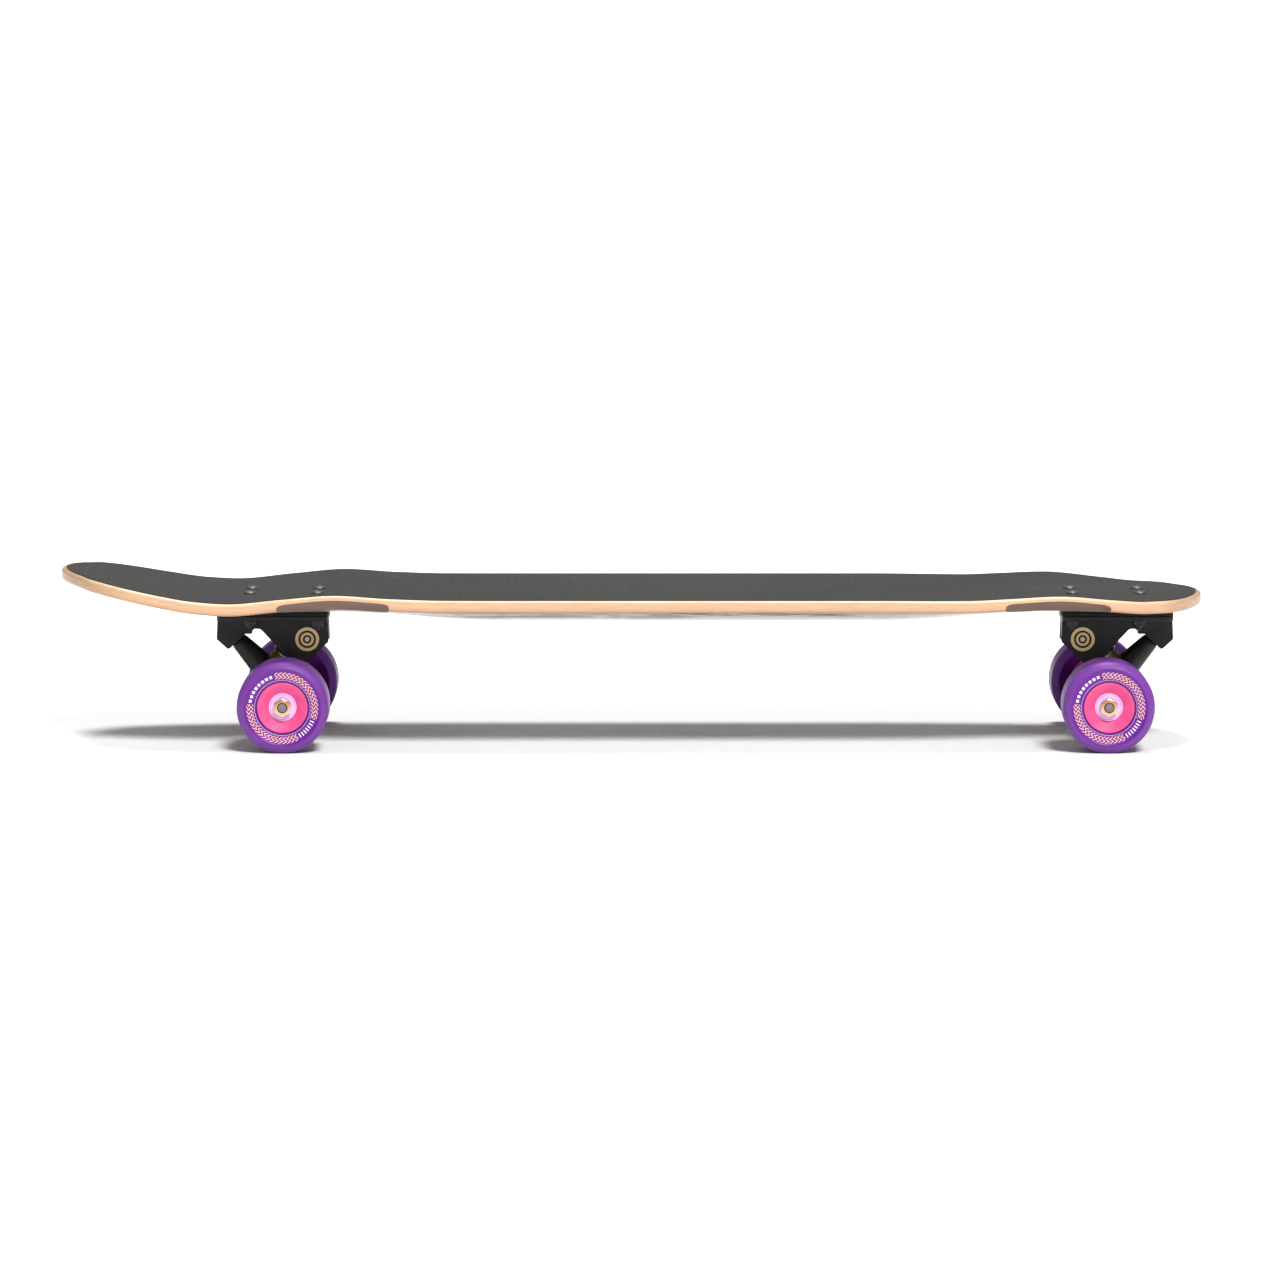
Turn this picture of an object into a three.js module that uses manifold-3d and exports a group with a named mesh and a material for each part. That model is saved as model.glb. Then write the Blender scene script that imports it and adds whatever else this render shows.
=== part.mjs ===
// A kick-tail downhill skateboard on four wheels, in millimetres.
// The origin is on the ground under the middle of the board. +X runs to the nose, +Y to the
// rider's left as they face the nose, +Z up.
import * as THREE from "three";
import { ConvexGeometry } from "three/addons/geometries/ConvexGeometry.js";
import { mergeVertices } from "three/addons/utils/BufferGeometryUtils.js";
import Module from "manifold-3d";

const wasm = await Module();
wasm.setup();

// ---- driving dimensions ----
const BOARD_LENGTH = 915;
const HALF_LENGTH = BOARD_LENGTH / 2;
const TAIL_AXLE_X = -275.9;
const NOSE_AXLE_X = 377.9;

const WHEEL_RADIUS = 36.5;
const AXLE_HEIGHT = WHEEL_RADIUS;
const TREAD_INNER = 74.8;
const TREAD_OUTER = 112.5;
const WHEEL_INNER_FACE = 69;
const WHEEL_OUTER_FACE = 117;
const CORE_RADIUS = 20;
const CORE_INNER_FACE = 84;
const CORE_OUTER_FACE = 114.2;
const CORE_DISH = 108;
const BEARING_RADIUS = 11;
const BEARING_WIDTH = 7;
const OUTER_BEARING_START = 102;
const INNER_BEARING_START = 85;

const AXLE_RADIUS = 3.97;
const AXLE_HALF_LENGTH = 116.2;
const RUNNING_GAP = 0.05;
const AXLE_NUT_WIDTH = 12.7;
const AXLE_NUT_START = 110.2;
const AXLE_NUT_HEIGHT = 5;

const DECK_THICKNESS = 9.8;
const GRIP_THICKNESS = 0.8;
const SHEET_GAP = 0.1;
const CONCAVE_WIDTH = 58;
const CONCAVE_POWER = 1.5;
const EDGE_TOP_ROUND = 1.2;
const EDGE_BOTTOM_ROUND = 2.5;
const WELL_TOP = 4.2;
const WELL_WIDTH = 13;
const WELL_END = 8;
const WELLS = [[-280.6, -191.5], [295.9, 379.8]];
const MIDDLE_START = -110;
const MIDDLE_END = 200;
const STATION_STEP = 18;
const TIP_HALF_WIDTH = 6;

// Control rows of the deck, tail to nose: x, half width, top of the rail, top of the middle.
const DECK_ROWS = [
  [-457.5, 0, 139.6, 139.4],
  [-444, 53, 138.0, 137.4],
  [-430, 77, 135.6, 134.8],
  [-402, 94.6, 130.1, 129.0],
  [-374, 102.2, 124.8, 123.6],
  [-346, 106.6, 120.5, 119.5],
  [-320, 109.4, 119.0, 118.3],
  [-276, 112, 123.2, 118.3],
  [-234, 113.8, 126.7, 118.3],
  [-192, 114.6, 124.1, 117.0],
  [-150, 115.6, 123.0, 113.4],
  [MIDDLE_START, 116, 123.0, 111.5],
  [MIDDLE_END, 116, 123.0, 111.5],
  [242, 114.4, 122.6, 113.2],
  [270, 111.9, 122.4, 115.6],
  [298, 109.8, 123.5, 117.6],
  [338, 105.8, 125.3, 118.3],
  [382, 98.9, 121.4, 118.3],
  [410, 89.6, 119.1, 118.3],
  [438, 69, 119.3, 118.5],
  [457.5, 0, 120.4, 120.2],
];

const FLANGE_OUTBOARD = -56.4;
const FLANGE_INBOARD = 33;
const FLANGE_HALF_WIDTH = 29;
const FLANGE_CORNER = 7;
const FLANGE_BOTTOM = 96.7;
const FLANGE_TOP = 100.8;
const RISER_BOTTOM = 101;
const RISER_TOP = 107.1;
const BLOCK_HALF_WIDTH = 14.4;
const BLOCK_BEVEL = 1.6;
const ARCH_STEP_X = -29;

const BOLT_SPACING_X = 53.975;
const BOLT_SPACING_Y = 41.275;
const BOLT_CENTRE = -2.5;
const BOLT_RADIUS = 2.35;
const BOLT_HOLE_RADIUS = 2.8;
const BOLT_HEAD_RADIUS = 5.2;
const BOLT_HEAD_BASE = 118.45;
const BOLT_HEAD_TOP = 121.1;
const BOLT_END = 89.9;
const BOLT_NUT_WIDTH = 9.5;
const BOLT_NUT_BOTTOM = 91.4;
const BOLT_NUT_TOP = 96.5;

const PIVOT_ANGLE = THREE.MathUtils.degToRad(46.7);
const PIVOT_FACE_DISTANCE = 59.6;
const RING_DISTANCE = 21;
const RING_RADIUS = 15.4;
const RING_HALF_HEIGHT = 5;
const RING_HOLE_RADIUS = 8;
const BUSHING_RADIUS = 12.2;
const BUSHING_POCKET_RADIUS = 12.7;
const LOW_BUSHING_TIP = 9.6;
const WASHER_BORE = 5.1;
const WASHER_THICKNESS = 1.3;
const LOW_WASHER_RADIUS = 10.6;
const KINGPIN_RADIUS = 4.76;
const KINGPIN_BURIED = 22;
const KINGPIN_LENGTH = 74;
const KINGPIN_NUT_WIDTH = 14.3;
const HANGER_END = 83.4;

// ---- finishes ----
const finish = (color, roughness, metalness = 0) =>
  new THREE.MeshStandardMaterial({ color, roughness, metalness });
const FINISHES = {
  maple: () => finish(0xf4d2a8, 0.45),
  griptape: () => finish(0x464444, 0.95),
  satin_black: () => finish(0x232121, 0.5, 0.2),
  riser_rubber: () => finish(0x201e1e, 0.8),
  urethane: () => finish(0x763aa5, 0.5),
  pink_core: () => finish(0xff6eb4, 0.45),
  bearing_steel: () => finish(0xd8c0cc, 0.35, 0.6),
  gold_plate: () => finish(0xd2a55a, 0.3, 0.9),
  axle_steel: () => finish(0x8c8c82, 0.35, 0.9),
  bolt_black: () => finish(0x1c1c1c, 0.4, 0.6),
  bushing_amber: () => finish(0x9a7a2a, 0.5),
  washer_steel: () => finish(0xb0aea8, 0.3, 0.9),
  cup_plastic: () => finish(0x151515, 0.6),
};

const board = new THREE.Group();

function add(group, name, geometry, finishName) {
  const mesh = new THREE.Mesh(geometry, FINISHES[finishName]());
  mesh.name = name;
  group.add(mesh);
}

// ---- shape helpers ----
function solid(geometry) {
  const bare = geometry.index ? geometry.toNonIndexed() : geometry.clone();
  for (const key of Object.keys(bare.attributes)) {
    if (key !== "position") bare.deleteAttribute(key);
  }
  const merged = mergeVertices(bare, 1e-4);
  const kept = [];
  const ids = merged.index.array;
  for (let i = 0; i < ids.length; i += 3) {
    const [a, b, c] = [ids[i], ids[i + 1], ids[i + 2]];
    if (a !== b && b !== c && c !== a) kept.push(a, b, c);
  }
  return new wasm.Manifold(new wasm.Mesh({
    numProp: 3,
    vertProperties: merged.attributes.position.array,
    triVerts: new Uint32Array(kept),
  }));
}

function geometryOf(manifold) {
  const mesh = manifold.getMesh();
  const geometry = new THREE.BufferGeometry();
  geometry.setAttribute("position", new THREE.BufferAttribute(mesh.vertProperties, 3));
  geometry.setIndex(new THREE.BufferAttribute(mesh.triVerts, 1));
  return geometry;
}

// The tight skin round two pieces, as a cast web joins a ring to a bar.
function wrapped(...pieces) {
  const corners = pieces.flatMap((piece) => {
    const at = piece.getAttribute("position");
    return Array.from({ length: at.count }, (_, i) => new THREE.Vector3().fromBufferAttribute(at, i));
  });
  return new ConvexGeometry(corners);
}

function cut(body, tools) {
  return geometryOf(tools.reduce((left, tool) => left.subtract(solid(tool)), body));
}

// A turned piece about +Y. The profile holds [radius, height] pairs and runs anticlockwise.
function turned(profile, sides) {
  const points = profile.map(([r, y]) => new THREE.Vector2(r, y));
  return new THREE.LatheGeometry(points, sides, Math.PI / sides);
}

function ring(inner, outer, low, high, sides) {
  return turned([[inner, low], [outer, low], [outer, high], [inner, high], [inner, low]], sides);
}

function rod(radius, low, high, sides) {
  return turned([[0, low], [radius, low], [radius, high], [0, high]], sides);
}

// Moves a piece turned about +Y so that it runs from a point along a direction.
function along(geometry, origin, direction) {
  const turn = new THREE.Quaternion().setFromUnitVectors(new THREE.Vector3(0, 1, 0), direction);
  return geometry.applyQuaternion(turn).translate(origin.x, origin.y, origin.z);
}

function polygon(sides, radius, phase) {
  return Array.from({ length: sides }, (_, i) => {
    const angle = phase + (i * 2 * Math.PI) / sides;
    return new THREE.Vector2(radius * Math.cos(angle), radius * Math.sin(angle));
  });
}

// A hexagon nut about +Y with a round bore.
function hexNut(width, bore, low, high) {
  const shape = new THREE.Shape(polygon(6, width / Math.sqrt(3), 0));
  shape.holes.push(new THREE.Path(polygon(12, bore, 0)));
  const nut = new THREE.ExtrudeGeometry(shape, { depth: high - low, bevelEnabled: false });
  return nut.rotateX(-Math.PI / 2).translate(0, low, 0);
}

// The arc round one tip, through the tip and the first row in from it, with the outline's slope there.
function tipArc(row) {
  const depth = HALF_LENGTH - Math.abs(row[0]);
  const radius = (row[1] ** 2 + depth ** 2) / (2 * depth);
  return { radius, slope: (-Math.sign(row[0]) * (radius - depth)) / row[1] };
}

// A smooth curve through one column of the deck rows. The outline runs straight on into the tip arcs.
function column(index) {
  const at = (i) => DECK_ROWS[THREE.MathUtils.clamp(i, 0, DECK_ROWS.length - 1)];
  const slope = (i) => {
    if (index === 1 && (i === 1 || i === DECK_ROWS.length - 2)) return tipArc(at(i)).slope;
    const [before, here, after] = [at(i - 1), at(i), at(i + 1)];
    const left = (here[index] - before[index]) / Math.max(here[0] - before[0], 1e-6);
    const right = (after[index] - here[index]) / Math.max(after[0] - here[0], 1e-6);
    return left * right <= 0 ? 0 : (2 * left * right) / (left + right);
  };
  return (x) => {
    let i = 0;
    while (i < DECK_ROWS.length - 2 && x > DECK_ROWS[i + 1][0]) i += 1;
    const [a, b] = [at(i), at(i + 1)];
    const span = b[0] - a[0];
    const t = (x - a[0]) / span;
    const rise = b[index] - a[index];
    const ease = t * t * (3 - 2 * t);
    return a[index] + rise * ease
      + span * (slope(i) * t * (1 - t) * (1 - t) - slope(i + 1) * t * t * (1 - t));
  };
}

// ---- deck and griptape ----
const widthCurve = column(1);
const railTop = column(2);
const middleTop = column(3);

// The ends of the outline are arcs, so the width there follows a circle of the tip's own radius.
function halfWidth(x) {
  const [tailRow, noseRow] = [DECK_ROWS[1], DECK_ROWS[DECK_ROWS.length - 2]];
  const depth = HALF_LENGTH - Math.abs(x);
  const arc = (row) => Math.sqrt(Math.max(2 * tipArc(row).radius * depth - depth ** 2, 0));
  if (x < tailRow[0]) return Math.max(arc(tailRow), TIP_HALF_WIDTH);
  if (x > noseRow[0]) return Math.max(arc(noseRow), TIP_HALF_WIDTH);
  return widthCurve(x);
}

function concaveStart(width) {
  return width - Math.min(CONCAVE_WIDTH, width / 2);
}

function topHeight(x, y) {
  const width = halfWidth(x);
  const start = concaveStart(width);
  const t = Math.max(Math.abs(y) - start, 0) / (width - start);
  return middleTop(x) + (railTop(x) - middleTop(x)) * t ** CONCAVE_POWER;
}

// How far the sanded wheel well is open at x, from 0 to 1, with round ends.
function wellOpening(x) {
  for (const [start, end] of WELLS) {
    const inside = Math.min(x - start, end - x);
    if (inside > 0) {
      const t = Math.min(inside / WELL_END, 1);
      return Math.sqrt(1 - (1 - t) ** 2);
    }
  }
  return 0;
}

function stations() {
  const list = [0, 1.2, 4, 9, 17, 27].flatMap((d) => [d - HALF_LENGTH, HALF_LENGTH - d]);
  for (let x = -HALF_LENGTH + 42; x <= MIDDLE_START; x += STATION_STEP) list.push(x);
  for (let x = MIDDLE_END; x <= HALF_LENGTH - 38; x += STATION_STEP) list.push(x);
  WELLS.forEach(([start, end]) => {
    [0, 1, 4, WELL_END].forEach((d) => list.push(start + d, end - d));
  });
  list.sort((a, b) => a - b);
  return list.filter((x, i) => i === 0 || x - list[i - 1] > 0.8);
}

// Skins rings of points into one closed body, with a fan over each end. Each face is split
// from its inner corner outwards, so stacked skins with the same stations never cross.
function skin(rings) {
  const count = rings[0].length;
  const corners = [];
  const push = (...points) => points.forEach((p) => corners.push(...p));
  for (let i = 0; i < rings.length - 1; i += 1) {
    for (let j = 0; j < count; j += 1) {
      const k = (j + 1) % count;
      const [a, b, c, d] = [rings[i][j], rings[i][k], rings[i + 1][k], rings[i + 1][j]];
      if (Math.abs(a[1]) <= Math.abs(b[1])) push(a, c, d, a, b, c);
      else push(a, b, d, b, c, d);
    }
  }
  for (const [end, reversed] of [[rings[0], false], [rings[rings.length - 1], true]]) {
    const middle = [0, 1, 2].map((axis) => end.reduce((sum, p) => sum + p[axis], 0) / count);
    for (let j = 0; j < count; j += 1) {
      const k = (j + 1) % count;
      if (reversed) push(middle, end[j], end[k]);
      else push(middle, end[k], end[j]);
    }
  }
  const geometry = new THREE.BufferGeometry();
  geometry.setAttribute("position", new THREE.Float32BufferAttribute(corners, 3));
  return geometry;
}

// Positions across one half of a section: the flat middle, then the rising concave.
function across(width, edge) {
  const start = concaveStart(width);
  const step = (edge - start) / 4;
  return [0, 1, 2, 3, 4].map((i) => start + step * i);
}

const topPlaces = (width) => across(width, width - Math.min(EDGE_TOP_ROUND, width / 4));
const mirrored = (half) => [...half, ...half.map(([y, z]) => [-y, z]).reverse()];

function deckRing(x) {
  const width = halfWidth(x);
  const drop = GRIP_THICKNESS + SHEET_GAP;
  const open = wellOpening(x);
  const rail = topHeight(x, width) - drop;
  const sideBottom = THREE.MathUtils.lerp(DECK_THICKNESS - EDGE_BOTTOM_ROUND, WELL_TOP, open);
  const underInset = THREE.MathUtils.lerp(EDGE_BOTTOM_ROUND, WELL_WIDTH, open);
  const top = topPlaces(width).map((y) => [y, topHeight(x, y) - drop]);
  const under = across(width, width - Math.min(underInset, width / 4))
    .map((y) => [y, topHeight(x, y) - drop - DECK_THICKNESS]);
  const half = [...under, [width, rail - sideBottom], [width, rail - EDGE_TOP_ROUND], ...top.reverse()];
  return mirrored(half).map(([y, z]) => [x, y, z]);
}

function gripRing(x) {
  const top = topPlaces(halfWidth(x)).map((y) => [y, topHeight(x, y)]);
  const under = top.map(([y, z]) => [y, z - GRIP_THICKNESS]);
  return mirrored([...under, ...top.reverse()]).map(([y, z]) => [x, y, z]);
}

const boltPlaces = [];
for (const side of [-1, 1]) {
  for (const end of [-1, 1]) {
    boltPlaces.push([BOLT_CENTRE + (end * BOLT_SPACING_X) / 2, (side * BOLT_SPACING_Y) / 2]);
  }
}

// The two trucks face each other: x runs inboard in each truck's own frame.
const TRUCKS = [
  { name: "tail", axle: TAIL_AXLE_X, inboard: 1 },
  { name: "nose", axle: NOSE_AXLE_X, inboard: -1 },
];

function boltHoles(radius, places) {
  return places.map(([x, y]) =>
    rod(radius, 0, BOLT_HEAD_TOP * 2, 10).rotateX(Math.PI / 2).translate(x, y, 0));
}

const deckBoltPlaces = TRUCKS.flatMap(({ axle, inboard }) =>
  boltPlaces.map(([x, y]) => [axle + inboard * x, inboard * y]));

const deckBody = solid(skin(stations().map(deckRing)));
const gripBody = solid(skin(stations().map(gripRing)));
add(board, "deck", cut(deckBody, boltHoles(BOLT_HOLE_RADIUS, deckBoltPlaces)), "maple");
add(board, "griptape", cut(gripBody, boltHoles(BOLT_HOLE_RADIUS, deckBoltPlaces)), "griptape");

// ---- one truck, in its own frame ----
const pivotAxis = new THREE.Vector3(Math.cos(PIVOT_ANGLE), 0, -Math.sin(PIVOT_ANGLE));
const kingpinAxis = new THREE.Vector3(-Math.sin(PIVOT_ANGLE), 0, -Math.cos(PIVOT_ANGLE));
const axleCentre = new THREE.Vector3(0, 0, AXLE_HEIGHT);
const pivotPoint = (distance) => axleCentre.clone().addScaledVector(pivotAxis, -distance);
const pivotFace = pivotPoint(PIVOT_FACE_DISTANCE);
const ringCentre = pivotPoint(RING_DISTANCE);
const kingpinPoint = (distance) => ringCentre.clone().addScaledVector(kingpinAxis, distance);
const seat = kingpinPoint(-RING_DISTANCE);
const onKingpin = (geometry) => along(geometry, seat, kingpinAxis);
const onPivot = (geometry) => along(geometry, pivotFace, pivotAxis);

function plate(low, high) {
  const [x0, x1, y] = [FLANGE_OUTBOARD, FLANGE_INBOARD, FLANGE_HALF_WIDTH];
  const corners = [
    [x1 - FLANGE_CORNER, y - FLANGE_CORNER, 0],
    [x0 + FLANGE_CORNER, y - FLANGE_CORNER, 1],
    [x0 + FLANGE_CORNER, -y + FLANGE_CORNER, 2],
    [x1 - FLANGE_CORNER, -y + FLANGE_CORNER, 3],
  ];
  const outline = corners.flatMap(([x, cy, quarter]) => [0, 1, 2, 3].map((i) => {
    const angle = ((quarter + i / 3) * Math.PI) / 2;
    return new THREE.Vector2(x + FLANGE_CORNER * Math.cos(angle), cy + FLANGE_CORNER * Math.sin(angle));
  }));
  const shape = new THREE.Shape(outline);
  const body = new THREE.ExtrudeGeometry(shape, { depth: high - low, bevelEnabled: false });
  return body.translate(0, 0, low);
}

// The side view of the baseplate's casting under the flange: the kingpin block inboard,
// the arch over the hanger, and the pivot housing outboard.
function castingOutline() {
  const inFlange = (FLANGE_BOTTOM + FLANGE_TOP) / 2;
  const seatEnd = (distance) => seat.clone().addScaledVector(pivotAxis, distance);
  const faceEnd = (distance) => pivotFace.clone().addScaledVector(kingpinAxis, distance);
  const low = seatEnd(11.4);
  const archSlope = seatEnd(-27);
  const archRound = seatEnd(-31);
  const archTop = seatEnd(-33).z;
  const faceHigh = faceEnd(-9.1);
  const faceLow = faceEnd(9.1);
  return [
    [32, inFlange],
    [FLANGE_OUTBOARD + 0.4, inFlange],
    [FLANGE_OUTBOARD + 0.4, 81.4],
    [faceLow.x, faceLow.z],
    [faceHigh.x, faceHigh.z],
    [ARCH_STEP_X, faceHigh.z],
    [ARCH_STEP_X, archTop],
    [ARCH_STEP_X + 3.4, archTop],
    [archRound.x - 0.6, archRound.z - 0.3],
    [archSlope.x, archSlope.z],
    [low.x, low.z],
    [low.x + 3.4, low.z + 1.8],
    [15.5, 63.7],
    [32, 79.4],
  ].reverse();
}

function baseplate() {
  const shape = new THREE.Shape(castingOutline().map(([x, z]) => new THREE.Vector2(x, z)));
  const casting = new THREE.ExtrudeGeometry(shape, {
    depth: 2 * (BLOCK_HALF_WIDTH - BLOCK_BEVEL),
    bevelThickness: BLOCK_BEVEL,
    bevelSize: BLOCK_BEVEL,
    bevelOffset: -BLOCK_BEVEL,
    bevelSegments: 1,
  });
  casting.rotateX(Math.PI / 2).translate(0, BLOCK_HALF_WIDTH - BLOCK_BEVEL, 0);
  const body = solid(plate(FLANGE_BOTTOM, FLANGE_TOP)).add(solid(casting));
  return cut(body, [
    ...boltHoles(BOLT_HOLE_RADIUS, boltPlaces),
    onKingpin(rod(KINGPIN_RADIUS + 0.25, -KINGPIN_BURIED - 0.4, 6, 16)),
    onPivot(rod(7.9, -10, 4, 16)),
  ]);
}

function hanger() {
  const arms = turned([
    [0, -HANGER_END], [9, -HANGER_END], [10.4, -72], [12, -40], [9.3, -16],
    [9.3, 16], [12, 40], [10.4, 72], [9, HANGER_END], [0, HANGER_END],
  ], 16).translate(axleCentre.x, axleCentre.y, axleCentre.z);
  const eye = along(rod(RING_RADIUS, -RING_HALF_HEIGHT, RING_HALF_HEIGHT, 20), ringCentre, kingpinAxis);
  const root = rod(9.3, -24, 24, 16).translate(axleCentre.x, axleCentre.y, axleCentre.z);
  const nose = onPivot(turned([
    [0, -7.5], [3, -7.3], [4.5, -6.2], [5, -4.6], [5, 1.4], [6.8, 1.4],
    [7.4, 5], [10.2, 28], [10.2, 38], [0, 38],
  ], 18));
  const body = solid(wrapped(eye, root)).add(solid(arms)).add(solid(nose));
  const pocket = (low, high) => along(rod(BUSHING_POCKET_RADIUS, low, high, 20), ringCentre, kingpinAxis);
  return cut(body, [
    pocket(RING_HALF_HEIGHT, 22),
    pocket(-22, -RING_HALF_HEIGHT),
    along(rod(RING_HOLE_RADIUS, -10, 10, 16), ringCentre, kingpinAxis),
    rod(AXLE_RADIUS + 0.2, -HANGER_END - 2, HANGER_END + 2, 16).translate(0, 0, AXLE_HEIGHT),
  ]);
}

// A washer dished round the upper bushing's end.
function cupWasher(base) {
  const rows = [
    [WASHER_BORE, 0], [12.9, 0], [14.2, 3.2], [13.2, 3.2],
    [12.6, WASHER_THICKNESS], [WASHER_BORE, WASHER_THICKNESS],
  ];
  const placed = rows.map(([r, h]) => [r, base + h]);
  return onKingpin(turned([...placed, placed[0]], 18));
}

// A barrel bushing between two heights on the kingpin, tapered to its far end.
function bushing(low, high, lowRadius, highRadius) {
  const middle = (low + high) / 2;
  const bulge = Math.max(lowRadius, highRadius);
  return onKingpin(turned([
    [5.2, low], [lowRadius - 1, low], [lowRadius, low + 1], [bulge, middle],
    [highRadius, high - 1], [highRadius - 1, high], [5.2, high], [5.2, low],
  ], 18));
}

function mountingBolt() {
  const mid = (BOLT_HEAD_BASE + BOLT_HEAD_TOP) / 2;
  return turned([
    [0, BOLT_END], [BOLT_RADIUS, BOLT_END], [BOLT_RADIUS, BOLT_HEAD_BASE],
    [BOLT_HEAD_RADIUS, BOLT_HEAD_BASE], [BOLT_HEAD_RADIUS * 0.88, mid],
    [BOLT_HEAD_RADIUS * 0.45, BOLT_HEAD_TOP], [0, BOLT_HEAD_TOP],
  ], 10).rotateX(Math.PI / 2);
}

function drilledRiser() {
  return cut(solid(plate(RISER_BOTTOM, RISER_TOP)), boltHoles(BOLT_HOLE_RADIUS, boltPlaces));
}

const TOP_BUSHING_END = RING_DISTANCE - RING_HALF_HEIGHT - 0.15;
const LOW_BUSHING_START = RING_DISTANCE + RING_HALF_HEIGHT + 0.15;
const LOW_WASHER = LOW_BUSHING_START + 13.6;

// ---- one wheel, about +Y, with its outer face towards +Y ----
const WHEEL_SIDES = 28;
const FLAT_TO_CORNER = 1 / Math.cos(Math.PI / WHEEL_SIDES);

function tyre() {
  const section = [
    [CORE_RADIUS + 0.2, CORE_INNER_FACE],
    [30, WHEEL_INNER_FACE],
    [33.2, WHEEL_INNER_FACE + 0.6],
    [35.6, WHEEL_INNER_FACE + 2.9],
    [WHEEL_RADIUS, TREAD_INNER],
    [WHEEL_RADIUS, TREAD_OUTER],
    [35.8, WHEEL_OUTER_FACE - 1.9],
    [33.8, WHEEL_OUTER_FACE - 0.3],
    [30.6, WHEEL_OUTER_FACE],
    [28.8, WHEEL_OUTER_FACE - 0.8],
    [CORE_RADIUS + 0.2, CORE_OUTER_FACE + 0.4],
  ].map(([r, y]) => [r * FLAT_TO_CORNER, y]);
  return turned([...section, section[0]], WHEEL_SIDES);
}

function core() {
  const seatRadius = BEARING_RADIUS + 0.25;
  const section = [
    [seatRadius, CORE_INNER_FACE + 0.4],
    [CORE_RADIUS - 0.2, CORE_INNER_FACE + 0.4],
    [CORE_RADIUS - 0.2, CORE_OUTER_FACE],
    [CORE_RADIUS - 1, CORE_OUTER_FACE],
    [seatRadius, CORE_DISH],
    [seatRadius, OUTER_BEARING_START - 0.2],
    [9.4, OUTER_BEARING_START - 0.2],
    [9.4, INNER_BEARING_START + BEARING_WIDTH + 0.2],
    [seatRadius, INNER_BEARING_START + BEARING_WIDTH + 0.2],
  ];
  return turned([...section, section[0]], 24);
}

function bearing(start) {
  const bore = (AXLE_RADIUS + RUNNING_GAP) / Math.cos(Math.PI / 20);
  return ring(bore, BEARING_RADIUS, start, start + BEARING_WIDTH, 20);
}

// ---- assembly ----
for (const { name, axle, inboard } of TRUCKS) {
  const truck = new THREE.Group();
  truck.position.x = axle;
  truck.rotation.z = inboard > 0 ? 0 : Math.PI;
  const part = (label, geometry, finishName) => add(truck, name + "_" + label, geometry, finishName);

  part("riser_pad", drilledRiser(), "riser_rubber");
  part("baseplate", baseplate(), "satin_black");
  part("pivot_cup", onPivot(turned([
    [0, -9.6], [7.6, -9.6], [7.6, 0.2], [8.8, 0.2], [8.8, 1.1], [5.4, 1.1],
    [5.4, -6], [4.6, -7.6], [0, -8.2],
  ], 18)), "cup_plastic");
  part("kingpin", onKingpin(turned([
    [0, -KINGPIN_BURIED], [KINGPIN_RADIUS, -KINGPIN_BURIED],
    [KINGPIN_RADIUS, KINGPIN_LENGTH - KINGPIN_BURIED - 1],
    [KINGPIN_RADIUS - 1, KINGPIN_LENGTH - KINGPIN_BURIED],
    [0, KINGPIN_LENGTH - KINGPIN_BURIED],
  ], 16)), "bolt_black");
  part("upper_washer", cupWasher(0.2), "washer_steel");
  const barrel = bushing(1.7, TOP_BUSHING_END, BUSHING_RADIUS - 0.4, BUSHING_RADIUS - 0.6);
  part("upper_bushing", barrel, "bushing_amber");
  const cone = bushing(LOW_BUSHING_START, LOW_WASHER - 1.5, BUSHING_RADIUS - 0.4, LOW_BUSHING_TIP);
  part("lower_bushing", cone, "bushing_amber");
  const lowWasher = ring(WASHER_BORE, LOW_WASHER_RADIUS, LOW_WASHER - WASHER_THICKNESS, LOW_WASHER, 20);
  part("lower_washer", onKingpin(lowWasher), "washer_steel");
  const lockNut = hexNut(KINGPIN_NUT_WIDTH, KINGPIN_RADIUS + 0.25, LOW_WASHER + 0.3, LOW_WASHER + 8.5);
  part("kingpin_nut", onKingpin(lockNut), "bolt_black");
  part("hanger", hanger(), "satin_black");
  const axleRod = rod(AXLE_RADIUS, -AXLE_HALF_LENGTH, AXLE_HALF_LENGTH, 20);
  part("axle", axleRod.translate(0, 0, AXLE_HEIGHT), "axle_steel");

  boltPlaces.forEach(([x, y], i) => {
    part("bolt_" + (i + 1), mountingBolt().translate(x, y, 0), "bolt_black");
    const nut = hexNut(BOLT_NUT_WIDTH, BOLT_RADIUS + 0.25, BOLT_NUT_BOTTOM, BOLT_NUT_TOP);
    part("bolt_nut_" + (i + 1), nut.rotateX(Math.PI / 2).translate(x, y, 0), "bolt_black");
  });
  board.add(truck);

  for (const [side, facing] of [["right", -1], ["left", 1]]) {
    const wheel = new THREE.Group();
    wheel.position.set(axle, 0, AXLE_HEIGHT);
    wheel.rotation.z = facing > 0 ? 0 : Math.PI;
    const label = name + "_" + side + "_";
    const nutEnd = AXLE_NUT_START + AXLE_NUT_HEIGHT;
    const nut = hexNut(AXLE_NUT_WIDTH, AXLE_RADIUS + 0.15, AXLE_NUT_START, nutEnd);
    add(wheel, label + "tyre", tyre(), "urethane");
    add(wheel, label + "core", core(), "pink_core");
    add(wheel, label + "outer_bearing", bearing(OUTER_BEARING_START), "bearing_steel");
    add(wheel, label + "inner_bearing", bearing(INNER_BEARING_START), "bearing_steel");
    add(wheel, label + "axle_nut", nut, "gold_plate");
    board.add(wheel);
  }
}

export default board;
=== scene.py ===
# A kick-tail downhill skateboard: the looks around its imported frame.
# The object's sizes are in millimetres, and MM turns them to metres. Numbers given to Blender in the
# materials and the stage are in metres.
import math

import bmesh
import bpy
from mathutils import Matrix, Vector


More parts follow.
